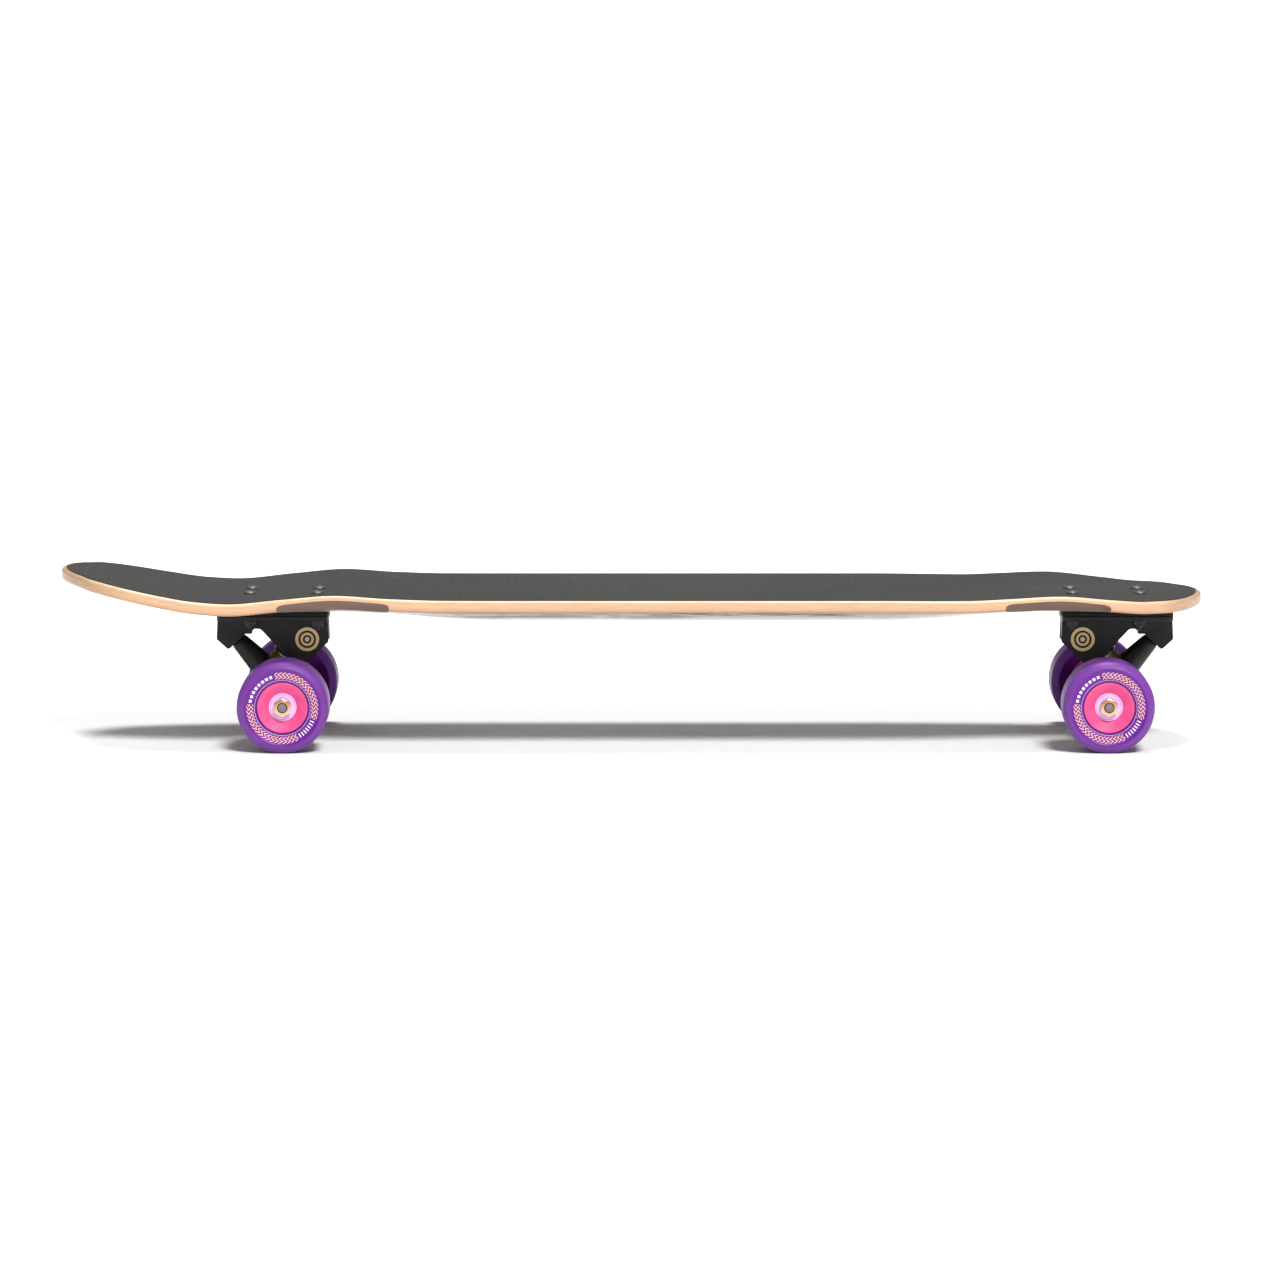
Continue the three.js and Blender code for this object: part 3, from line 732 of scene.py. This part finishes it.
def half_width(x, inset=0.0):
    """Half the width of the outline moved in by inset, with the two tips as arcs."""
    circle = tip_circle(x)
    if circle:
        centre, radius = circle
        return max(math.sqrt(max((radius - inset) ** 2 - (x - centre) ** 2, 0)), TIP_HALF_WIDTH)
    return width_curve(x) - inset * lean(x)


def lean(x):
    """How much longer a step across the board is than the same step square to the outline."""
    circle = tip_circle(x)
    if circle:
        return circle[1] / half_width(x)
    return math.hypot(1, width_curve(x + 0.5) - width_curve(x - 0.5))


def edge_distance(x, y):
    circle = tip_circle(x)
    if circle:
        return max(circle[1] - math.hypot(x - circle[0], y), 0)
    return max((width_curve(x) - abs(y)) / lean(x), 0)


def rounding(x, y, radius):
    """How far a rounded edge has fallen away from the flat at a place on the board."""
    short = max(radius - edge_distance(x, y), 0)
    return radius - math.sqrt(max(radius ** 2 - short ** 2, 0))


def top_height(x, y):
    width = half_width(x)
    start = width - min(CONCAVE_WIDTH, width / 2)
    t = min(max(abs(y) - start, 0) / (width - start), 1)
    return middle_top(x) + (rail_top(x) - middle_top(x)) * t ** CONCAVE_POWER


def well_opening(x):
    for start, end in WELLS:
        inside = min(x - start, end - x)
        if inside > 0:
            return math.sqrt(1 - (1 - min(inside / WELL_END, 1)) ** 2)
    return 0.0


def stations():
    """Places along the board: close together at the tips and at the ends of the wells."""
    tips = [HALF_LENGTH - 34 * (1 - math.cos(math.pi / 2 * k / 16)) for k in range(16)]
    places = [-x for x in tips] + tips
    places += [-HALF_LENGTH + 34 + k * (2 * HALF_LENGTH - 68) / 150 for k in range(151)]
    for start, end in WELLS:
        for k in range(10):
            inset = WELL_END * (1 - math.cos(math.pi / 2 * k / 9))
            places += [start + inset, end - inset]
    places.sort()
    return [x for i, x in enumerate(places) if i == 0 or x - places[i - 1] > 0.02]


def spread(width, count):
    """Places across half a section, closer together where the concave rises."""
    start = width - min(CONCAVE_WIDTH, width / 2)
    return [start * k / 3 for k in range(3)] + [start + (width - start) * k / count for k in range(count + 1)]


def deck_section(x):
    """Half a section, from the middle underneath round the rail to the middle on top, with the ply depth."""
    width = half_width(x)
    drop = GRIP_THICKNESS + SHEET_GAP
    open_share = well_opening(x)
    top_inset = min(TOP_ROUND * lean(x), width / 2)
    bottom_inset = min(BOTTOM_ROUND * lean(x), width / 2)
    under_inset = bottom_inset + max(WELL_WIDTH - bottom_inset, 0) * open_share

    def top(y):
        return top_height(x, y) - drop - rounding(x, y, TOP_ROUND)

    def under(y):
        return top_height(x, y) - drop - DECK_THICKNESS + rounding(x, y, BOTTOM_ROUND)

    def depth(y, z):
        return (top_height(x, y) - drop - z) / DECK_THICKNESS

    half = [(y, under(y), depth(y, under(y))) for y in spread(width - under_inset, 10)]
    low_y, low_z = half[-1][:2]
    well_z = top_height(x, width) - drop - WELL_TOP
    for k in range(1, 7):
        t = k / 6
        y = low_y + (width - low_y) * math.sin(math.pi / 2 * t)
        straight_y = low_y + (width - low_y) * t
        straight_z = low_z + (well_z - low_z) * t
        y, z = y + (straight_y - y) * open_share, under(y) + (straight_z - under(y)) * open_share
        half.append((y, z, depth(y, z)))
    for k in range(7):
        y = width - top_inset * (1 - math.cos(math.pi / 2 * k / 6))
        half.append((y, top(y), depth(y, top(y))))
    half += [(y, top(y), depth(y, top(y))) for y in reversed(spread(width - top_inset, 10)[:-1])]
    return half


def skin(sections):
    """Joins half sections, mirrored about the middle, into one closed shell with its ply depths."""
    points, depths = [], []
    for x, half in sections:
        full = half + [(-y, z, depth) for y, z, depth in reversed(half)][:-1]
        full = full[1:] if half[0][0] == 0 else full
        for y, z, depth in full:
            points.append((x * MM, y * MM, z * MM))
            depths.append(depth)
    count = len(points) // len(sections)
    faces = []
    for i in range(len(sections) - 1):
        for j in range(count):
            k = (j + 1) % count
            faces.append([i * count + j, i * count + k, (i + 1) * count + k, (i + 1) * count + j])
    faces.append(list(range(count))[::-1])
    faces.append([(len(sections) - 1) * count + j for j in range(count)])
    return points, faces, depths


def build_deck():
    points, faces, depths = skin([(x, deck_section(x)) for x in stations()])
    deck = piece("deck_shell", (points, faces), "board", ["maple", "paint", "well"], ["deck"])
    mesh = deck.data
    layer = mesh.attributes.new("ply", "FLOAT", "POINT")
    layer.data.foreach_set("value", depths)
    # How far the rail turns to face the ends of the board; the maple paints shade on the tips by this share.
    ends = mesh.attributes.new("endgrain", "FLOAT", "POINT")
    across = [1 / lean(v.co.x / MM) for v in mesh.vertices]
    ends.data.foreach_set("value", [math.sqrt(max(1 - a * a, 0)) for a in across])
    for polygon in mesh.polygons:
        centre, normal = polygon.center, polygon.normal
        x, y = centre.x / MM, abs(centre.y) / MM
        inset = half_width(x) - y
        open_share = well_opening(x)
        depth = sum(depths[i] for i in polygon.vertices) / len(polygon.vertices)
        if depth > 0.99 and normal.z < -0.5:
            polygon.material_index = 1
        elif open_share > 0 and depth > 0.2 and normal.z < -0.25 and inset < WELL_WIDTH:
            polygon.material_index = 2


def build_grip():
    """The abrasive sheet, set in from the outline so that the rounded maple edge shows all round it."""
    sections = []
    for place in stations():
        x = place * (HALF_LENGTH - TIP_GRIP_INSET) / HALF_LENGTH
        past = max((abs(x) - TIP_START) / (HALF_LENGTH - TIP_START), 0)
        edge = half_width(x, GRIP_INSET + (TIP_GRIP_INSET - GRIP_INSET) * min(past * 2, 1))
        top = [(y, top_height(x, y) - rounding(x, y, TOP_ROUND), 0.0) for y in spread(edge, 10)]
        under = [(y, z - GRIP_THICKNESS, 1.0) for y, z, _ in top]
        y, z = top[-1][:2]
        lowered = top[:-1] + [(y - 0.25, z - 0.02, 0.0)]
        sections.append((x, under + [(y, z - 0.25, 0.5)] + lowered[::-1]))
    points, faces, _ = skin(sections)
    sheet = piece("grip_sheet", (points, faces), "board", ["grip", "backing_and_gap_shade"], ["griptape"])
    # The sheet's side faces take the dark edge: partly its backing, partly painted shade along the gap over
    # the rail.
    for polygon in sheet.data.polygons:
        if polygon.normal.z < 0.5:
            polygon.material_index = 1


# ---------------------------------------------------------------- fasteners

THREAD_DEPTH = 0.35
THREAD_END = 9
BOLT_HEAD_BASE = 118.45
SOCKET_HALF_WIDTH = 1.75
NUT_FACE_SHARE = 0.96
NUT_COLLAR_SHARE = 0.86


def threads(radius, low, high, pitch):
    """The outline of a threaded stretch, from its low end to its high end."""
    count = max(int((high - low) / pitch), 1)
    step = (high - low) / count
    root = radius - THREAD_DEPTH
    outline = []
    for k in range(count):
        outline += [(root, low + k * step), (radius, low + (k + 0.5) * step)]
    return outline + [(root, high)]


def from_flat(angle):
    """The angle from the middle of the nearest side of a hexagon."""
    return (angle + math.pi / 6) % (math.pi / 3) - math.pi / 6


def hexagon(across, low, high, bore, insert):
    """A chamfered hexagon nut. insert is the height of the plain collar that holds a nylon ring."""
    flat = across / 2
    corner = flat / math.cos(math.pi / 6)
    face = flat * NUT_FACE_SHARE
    collar = flat * NUT_COLLAR_SHARE
    chamfer = math.tan(math.radians(28))
    top = high - insert
    profile = [(bore, low + 0.3), (bore + 0.4, low), (face, low), (corner, low), (corner, top), (face, top)]
    profile += fillet([(collar, top), (collar, high), (bore + 0.15, high)], 0.7, 3)
    profile.append((bore, high - 0.3))

    def radius_at(index, radius, height, angle):
        if index not in (3, 4):
            return radius, height
        reach = flat / math.cos(from_flat(angle))
        fall = max(reach - face, 0) * chamfer
        return reach, height + (fall if index == 3 else -fall)
    return spin(profile, 72, True, radius_at)


def socket_head(radius, height):
    """A low domed head with a hexagon socket, from its underside at 0."""
    rim = 0.2 * height
    rise = height - rim
    wide = SOCKET_HALF_WIDTH
    dome = [(radius * math.cos(t), rim + rise * math.sin(t)) for t in (0, 0.2, 0.4, 0.6, 0.8, 1.0, 1.15)]
    socket = [(wide + 0.25, height), (wide, height - 0.2), (wide, 0.25 * height), (0, 0.18 * height)]
    profile = [(0, 0), (radius, 0)] + dome + socket
    first_socket = len(profile) - len(socket)

    def radius_at(index, r, h, angle):
        if index < first_socket:
            return r, h
        return r * math.cos(math.pi / 6) / math.cos(from_flat(angle)), h
    return spin(profile, 48, False, radius_at)


def build_bolts(end):
    for number in range(1, 5):
        bolt, nut = f"{end}_bolt_{number}", f"{end}_bolt_nut_{number}"
        centre, low, high = middle_of(bolt)
        head = socket_head((high.x - low.x) / 2, high.z - BOLT_HEAD_BASE)
        head = moved(head, shift(centre.x, centre.y, BOLT_HEAD_BASE))
        plain = low.z + THREAD_END
        outline = [(0, low.z)] + threads(2.35, low.z, plain, 0.8)
        outline += [(2.3, plain), (2.3, BOLT_HEAD_BASE + 0.1), (0, BOLT_HEAD_BASE + 0.1)]
        shank = moved(spin(outline, 24, False), shift(centre.x, centre.y, 0))
        piece(bolt + "_piece", merged(head, shank), "board", ["bolt"], [bolt])

        centre, low, high = middle_of(nut)
        flip = shift(centre.x, centre.y, high.z) @ Matrix.Rotation(math.pi, 4, "X")
        height = high.z - low.z
        shell = moved(hexagon(9.5, 0, height, 2.5, 1.6), flip)
        piece(nut + "_piece", shell, "board", ["nut"], [nut])
        ring = moved(spin(band(2.4, 3.0, height - 1.2, height - 0.1), 32), flip)
        piece(nut + "_insert", ring, "board", ["nylon"])


# ---------------------------------------------------------------- trucks

PIVOT_ANGLE = math.radians(46.7)
PIVOT_DISTANCE = 59.6
RING_DISTANCE = 21
RING_RADIUS = 15.4
RING_HALF_HEIGHT = 5
POCKET_RADIUS = 12.7
HANGER_END = 83.4
HANGER_CREASE = 40
BLOCK_HALF_WIDTH = 14.4
FLANGE = (-56.4, 33, 29, 7)
FLANGE_THICKNESS = 4.1
AXLE_RADIUS = 3.95
EMBLEM_PLACE = (15.7, 80.9)
EMBLEM_RADIUS = 9.6


class Truck:
    """One truck's own frame: +X inboard from the axle, +Z up, with its pivot and kingpin lines."""

    def __init__(self, end):
        self.end = end
        self.body = end + "_truck"
        centre = middle_of(f"{end}_axle")[0]
        turn = Matrix.Identity(4) if TRUCK_SIDES[end] > 0 else Matrix.Rotation(math.pi, 4, "Z")
        self.matrix = shift(centre.x, 0, 0) @ turn
        self.axle = Vector((0, 0, centre.z))
        self.pivot_line = Vector((math.cos(PIVOT_ANGLE), 0, -math.sin(PIVOT_ANGLE)))
        self.kingpin_line = Vector((-math.sin(PIVOT_ANGLE), 0, -math.cos(PIVOT_ANGLE)))
        self.pivot_face = self.axle - self.pivot_line * PIVOT_DISTANCE
        self.ring = self.axle - self.pivot_line * RING_DISTANCE
        self.seat = self.ring - self.kingpin_line * RING_DISTANCE
        self.on_kingpin = facing(self.seat, self.kingpin_line)
        self.on_pivot = facing(self.pivot_face, self.pivot_line)
        self.on_ring = facing(self.ring, self.kingpin_line)
        self.across = facing(self.axle, (0, 1, 0))

    def node(self, label):
        return f"{self.end}_{label}"

    def fit(self, label, part, body, material, slot, matrix):
        """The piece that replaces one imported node."""
        part = moved(part, matrix)
        piece(self.node(label + "_piece"), part, body, [material], [self.node(label)], self.matrix)


def build_riser(truck):
    """Two pads, one on the other, with a thin groove between them."""
    centre, low, high = middle_of(truck.node("riser_pad"))
    middle = centre.z
    x0, x1, half_y, corner = FLANGE
    plate = rounded_plate(*FLANGE)
    inner = rounded_plate(x0 + 0.6, x1 - 0.6, half_y - 0.6, corner)
    pads = merged(prism(plate, low.z, middle - 0.06, 0.4), prism(plate, middle + 0.06, high.z, 0.4),
                  prism(inner, middle - 0.3, middle + 0.3))
    truck.fit("riser_pad", pads, "board", "riser", "riser_rubber", Matrix.Identity(4))


def side_outline(truck):
    """The casting under the flange seen from the side, anticlockwise with +Z up."""
    flange_middle = 98.7
    arch_x = -29
    back_x = FLANGE[0] + 0.4
    arch_top = (truck.seat - truck.pivot_line * 33).z
    low, high = (truck.seat + truck.pivot_line * d for d in (11.4, -32.5))
    face_low, face_high = (truck.pivot_face + truck.kingpin_line * d for d in (9.1, -9.1))
    return rounded([
        (32, flange_middle, 0), (back_x, flange_middle, 0), (back_x, 81.4, 1.2),
        (face_low.x, face_low.z, 1.4), (face_high.x, face_high.z, 0.6), (arch_x, face_high.z, 0.8),
        (arch_x, arch_top, 1.6), (high.x, arch_top, 5.5), (low.x, low.z, 1.6),
        (low.x + 3.6, low.z + 1.9, 2.0), (15.5, 63.7, 6), (32, 79.4, 1.6),
    ], 5)


def build_baseplate(truck):
    flange_top = middle_of(truck.node("baseplate"))[2].z
    flange_low = flange_top - FLANGE_THICKNESS
    upright = Matrix(((1, 0, 0, 0), (0, 0, 1, 0), (0, 1, 0, 0), (0, 0, 0, 1)))
    points, faces = prism(side_outline(truck)[::-1], -BLOCK_HALF_WIDTH, BLOCK_HALF_WIDTH, 0.9)
    block = moved((points, [face[::-1] for face in faces]), upright)
    plate = prism(rounded_plate(*FLANGE), flange_low, flange_top, 0.5)
    holes = []
    for number in range(1, 5):
        place = truck.matrix.inverted() @ (middle_of(truck.node(f"bolt_{number}"))[0] * MM)
        hole = rod(2.75, flange_low - 1, flange_top + 1, 32)
        holes.append(moved(hole, Matrix.Translation((place.x, place.y, 0))))
    holes.append(moved(rod(7.9, -10, 3, 48), truck.on_pivot))
    holes.append(moved(rod(5, -22, 5, 32), truck.on_kingpin))
    body = loose(truck.node("baseplate_piece"), block)
    machined(body, plate, "UNION")
    machined(body, merged(*holes))
    finished(body, truck.matrix, "black")
    settle(body, "board", [truck.node("baseplate")])


def build_hanger(truck):
    half_arm = [(9.3, 16, 14), (12, 40, 25), (10.4, 70, 20), (9, HANGER_END, 0.6), (0, HANGER_END, 0)]
    arm = [(r, -h, bend) for r, h, bend in reversed(half_arm)] + half_arm
    arms = moved(spin(rounded(arm, 6, False), 64, False), truck.across)
    eye = moved(rod(RING_RADIUS, -RING_HALF_HEIGHT, RING_HALF_HEIGHT, 48), truck.on_ring)
    root = moved(rod(9.3, -24, 24, 48), truck.across)
    nose = fillet([(0, -7.5), (4, -7.0), (5, -4.6), (5, 1.4), (6.9, 1.4), (7.4, 5), (10.2, 28), (10.2, 38),
                   (0, 38)], 0.8, 4)
    nose = moved(spin(nose, 56, False), truck.on_pivot)

    body = cast(truck.node("hanger_piece"), [arms, hull_of(eye[0] + root[0]), nose])
    machined(body, merged(moved(rod(POCKET_RADIUS, RING_HALF_HEIGHT, 24, 64), truck.on_ring),
                          moved(rod(POCKET_RADIUS, -24, -RING_HALF_HEIGHT, 64), truck.on_ring)))
    machined(body, moved(rod(8, -12, 12, 48), truck.on_ring))
    finished(body, truck.matrix, "black")
    settle(body, truck.body, [truck.node("hanger")], HANGER_CREASE)


def build_axle(truck):
    end = middle_of(truck.node("axle"))[2].y
    plain = end - THREAD_END
    outline = [(0, -end), (3.35, -end)] + threads(AXLE_RADIUS, 0.8 - end, -plain, 1.05)
    outline += [(AXLE_RADIUS, -plain), (AXLE_RADIUS, plain)]
    outline += threads(AXLE_RADIUS, plain, end - 0.8, 1.05) + [(3.35, end), (0, end)]
    truck.fit("axle", spin(outline, 48, False), truck.body, "axle", "axle_steel", truck.across)


def build_bushings(truck):
    """The kingpin, its two bushings between dished washers, and its lock nut."""
    top = RING_DISTANCE - RING_HALF_HEIGHT - 0.15
    low = RING_DISTANCE + RING_HALF_HEIGHT + 0.15
    last = low + 13.6
    barrel = rounded([(5.2, 1.7, 0), (11.2, 1.7, 1), (12.1, 3.4, 3), (12.2, top / 2 + 1, 8),
                      (11.8, top - 1.6, 3), (10.9, top, 1), (5.2, top, 0)], 5, False)
    cone = rounded([(5.2, low, 0), (10.9, low, 1), (11.8, low + 1.5, 2), (11.6, low + 4, 5),
                    (9.5, last - 2.4, 1), (8.7, last - 1.5, 0.6), (5.2, last - 1.5, 0)], 5, False)
    bushings = (("upper_bushing", barrel, 1.7, top), ("lower_bushing", cone, last, low))
    for label, outline, far, near in bushings:
        part = moved(spin(outline, 56), truck.on_kingpin)
        made = piece(truck.node(label + "_piece"), part, None, ["shaded_amber"], matrix=truck.matrix)
        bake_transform(made)
        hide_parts(truck.node(label))

    dish = [(5.1, 0.2), (12.9, 0.2), (14.2, 3.4), (13.2, 3.4), (12.6, 1.5), (5.1, 1.5)]
    dish = spin(fillet(dish, 0.45, 3, closed=True), 64)
    disc = spin(fillet(band(5.1, 10.5, last - 1.3, last), 0.35, 3, closed=True), 64)
    pin = [(0, -22), (4.7, -22), (4.7, 38)] + threads(4.76, 38, 51.2, 1.05) + [(3.6, 52), (0, 52)]
    nut = hexagon(14.3, last + 0.3, last + 8.5, 4.9, 2.0)
    cup = fillet([(0, -9.6), (7.6, -9.6), (7.6, 0.2), (8.8, 0.2), (8.8, 1.1), (5.4, 1.1), (5.4, -6),
                  (4.6, -7.6), (0, -8.2)], 0.3, 3)
    truck.fit("upper_washer", dish, "board", "washer", "washer_steel", truck.on_kingpin)
    truck.fit("lower_washer", disc, "board", "washer", "washer_steel", truck.on_kingpin)
    truck.fit("kingpin", spin(pin, 40, False), "board", "nut", "bolt_black", truck.on_kingpin)
    truck.fit("kingpin_nut", nut, "board", "nut", "bolt_black", truck.on_kingpin)
    truck.fit("pivot_cup", spin(cup, 48, False), "board", "cup", "cup_plastic", truck.on_pivot)


def build_emblem(truck):
    """A plain mark of concentric rings on both sides of the kingpin block."""
    rings = []
    for inner, outer in ((0.0, 0.20), (0.36, 0.56), (0.74, 1.0)):
        profile = band(inner * EMBLEM_RADIUS, outer * EMBLEM_RADIUS, 0, 0.12)
        rings.append(spin(profile, 72, inner > 0))
    for side_name, side in WHEEL_SIDES.items():
        place = facing((EMBLEM_PLACE[0], side * BLOCK_HALF_WIDTH, EMBLEM_PLACE[1]), (0, side, 0))
        mark = moved(merged(*rings), place)
        piece(truck.node("emblem_" + side_name), mark, "board", ["emblem"], matrix=truck.matrix)


# ---------------------------------------------------------------- wheels

FACE_START = 113.5
BEARING_WIDTH = 7
SPEED_RING_WIDTH = 1.1


def wheel_matrix(axle, side):
    """+Z out along the axle, +X to the viewer's right and +Y up, seen from outside."""
    turn = Matrix(((-side, 0, 0), (0, 0, 1), (0, side, 0))).transposed().to_4x4()
    return shift(axle.x, 0, axle.z) @ turn


def tyre_profile():
    return rounded([
        (20.2, 84, 0), (21, 84, 0.4), (29.4, 69.3, 2.0), (31.5, 69, 1.5), (36.5, 73.2, 6.5),
        (36.5, 113.2, 6.0), (31.6, 117.0, 2.2), (29.6, 116.6, 1.0), (28.8, 116.2, 1.2), (21.9, 114.9, 1.0),
        (21.3, 114.3, 0.4), (20.3, 114.2, 0.2), (20.2, 113.4, 0.2),
    ], 7)


def add_print(made, axle, side):
    """The "print" map and the "face" share that the urethane material reads."""
    mesh = made.data
    layer = mesh.uv_layers.new(name="print")
    face = mesh.attributes.new("face", "FLOAT", "POINT")
    face.data.foreach_set("value", [1.0 if abs(v.co.y) > FACE_START * MM else 0.0 for v in mesh.vertices])

    def turn_and_reach(place):
        across, up = (place.x - axle.x * MM) * -side, place.z - axle.z * MM
        return math.atan2(up, across), math.hypot(across, up)

    for polygon in mesh.polygons:
        home = turn_and_reach(polygon.center)[0]
        for corner in polygon.loop_indices:
            angle, reach = turn_and_reach(mesh.vertices[mesh.loops[corner].vertex_index].co)
            angle += TAU * round((home - angle) / TAU)
            if home < 0:
                angle += TAU
            layer.data[corner].uv = (angle / TAU, reach / (PRINT_SCALE * MM))


def build_wheel(end, side_name, side):
    label = f"{end}_{side_name}_"
    wheel_body, truck_body = label + "wheel", end + "_truck"
    axle = middle_of(f"{end}_axle")[0]
    matrix = wheel_matrix(axle, side)

    def fit(name, part, body, material, replaces=()):
        return piece(label + name, part, body, [material], replaces, matrix)

    def soft_ring(outline, radius, segments, steps=3):
        return spin(fillet(outline, radius, steps, closed=True), segments)

    tyre = fit("tyre_piece", spin(tyre_profile(), 144), wheel_body, "urethane", [label + "tyre"])
    add_print(tyre, axle, side)

    core = [(11.1, 102), (9.4, 102), (9.4, 92), (11.1, 92), (11.1, 84.6), (20, 84.6), (20, 114.1),
            (19.2, 114.1), (11.9, 108.4), (11.1, 108.2)]
    fit("core_piece", soft_ring(core, 0.35, 128, 4), wheel_body, "pink", [label + "core"])

    for name, near, material in (("outer_bearing", 102, "shield"), ("inner_bearing", 85, "steel")):
        far = near + BEARING_WIDTH
        outer = soft_ring(band(9.9, 11, near, far), 0.3, 72)
        races = merged(outer, soft_ring(band(4.05, 5.3, near, far), 0.25, 64))
        fit(name + "_races", races, wheel_body, material, [label + name])
        shield = [(5.5, near + 0.4), (9.7, near + 0.4), (9.7, far - 0.3), (8.8, far - 0.15),
                  (6.4, far - 0.45), (5.5, far - 0.45)]
        fit(name + "_shield", soft_ring(shield, 0.2, 72), wheel_body, "shield")

    for name, near in (("outer_speed_ring", 109.05), ("inner_speed_ring", 83.5)):
        ring = band(4.1, 5.7, near, near + SPEED_RING_WIDTH)
        fit(name, soft_ring(ring, 0.25, 56), truck_body, "washer")
    nut = hexagon(12.7, 110.25, 115.2, 4.1, 1.3)
    fit("axle_nut_piece", nut, truck_body, "gold", [label + "axle_nut"])


# ---------------------------------------------------------------- stage, in metres

FLOOR_HALF = 60.0
STUDIO_LIGHT = 0.27
LENS = 223.9
CAMERA_PLACE = (0.0041, -6.3356, 0.7233)
CAMERA_PITCH = 0.1008


def build_floor():
    corners = [(x * FLOOR_HALF, y * FLOOR_HALF, 0) for x, y in ((-1, -1), (1, -1), (1, 1), (-1, 1))]
    floor = loose("floor", (corners, [(0, 1, 2, 3)]))
    s = Shader("studio_floor")
    s.mottled(s.noise(3.0, 2), (0.96, 0.955, 0.95), (0.97, 0.966, 0.96))
    s.rough(0.9)
    floor.data.materials.append(s.set(specular_ior_level=0.1).material)


def soft_sun(name, direction, energy, softness):
    """A broad, distant lamp. direction is the way its light travels."""
    data = bpy.data.lights.new(name, "SUN")
    data.energy = energy
    data.angle = math.radians(softness)
    lamp = linked(name, data)
    lamp.rotation_mode = "QUATERNION"
    lamp.rotation_quaternion = Vector(direction).to_track_quat("-Z", "Y")


def build_stage():
    """A white studio: even light all round, one soft light overhead and one in front, to the right."""
    build_floor()
    world = bpy.data.worlds.new("studio")
    world.use_nodes = True
    background = world.node_tree.nodes["Background"]
    background.inputs["Color"].default_value = (1.0, 0.995, 0.99, 1)
    background.inputs["Strength"].default_value = STUDIO_LIGHT
    bpy.context.scene.world = world
    soft_sun("overhead", (0.03, -0.08, -1), 2.45, 18)
    soft_sun("front_key", (-0.32, 0.9, -1), 3.2, 15)
    bpy.context.scene.view_settings.view_transform = "Standard"


def build_camera():
    """A long lens, a little above the deck, looking square at the right-hand side."""
    data = bpy.data.cameras.new("camera")
    data.lens = LENS
    data.sensor_width = 36
    data.clip_end = 200
    camera = linked("camera", data)
    camera.location = CAMERA_PLACE
    camera.rotation_euler = (math.radians(90) - CAMERA_PITCH, 0, 0)
    bpy.context.scene.camera = camera


build_camera()
build_stage()
build_deck()
build_grip()
for end in TRUCK_SIDES:
    truck = Truck(end)
    build_riser(truck)
    build_baseplate(truck)
    build_hanger(truck)
    build_axle(truck)
    build_bushings(truck)
    build_emblem(truck)
    build_bolts(end)
    for side_name, side in WHEEL_SIDES.items():
        build_wheel(end, side_name, side)
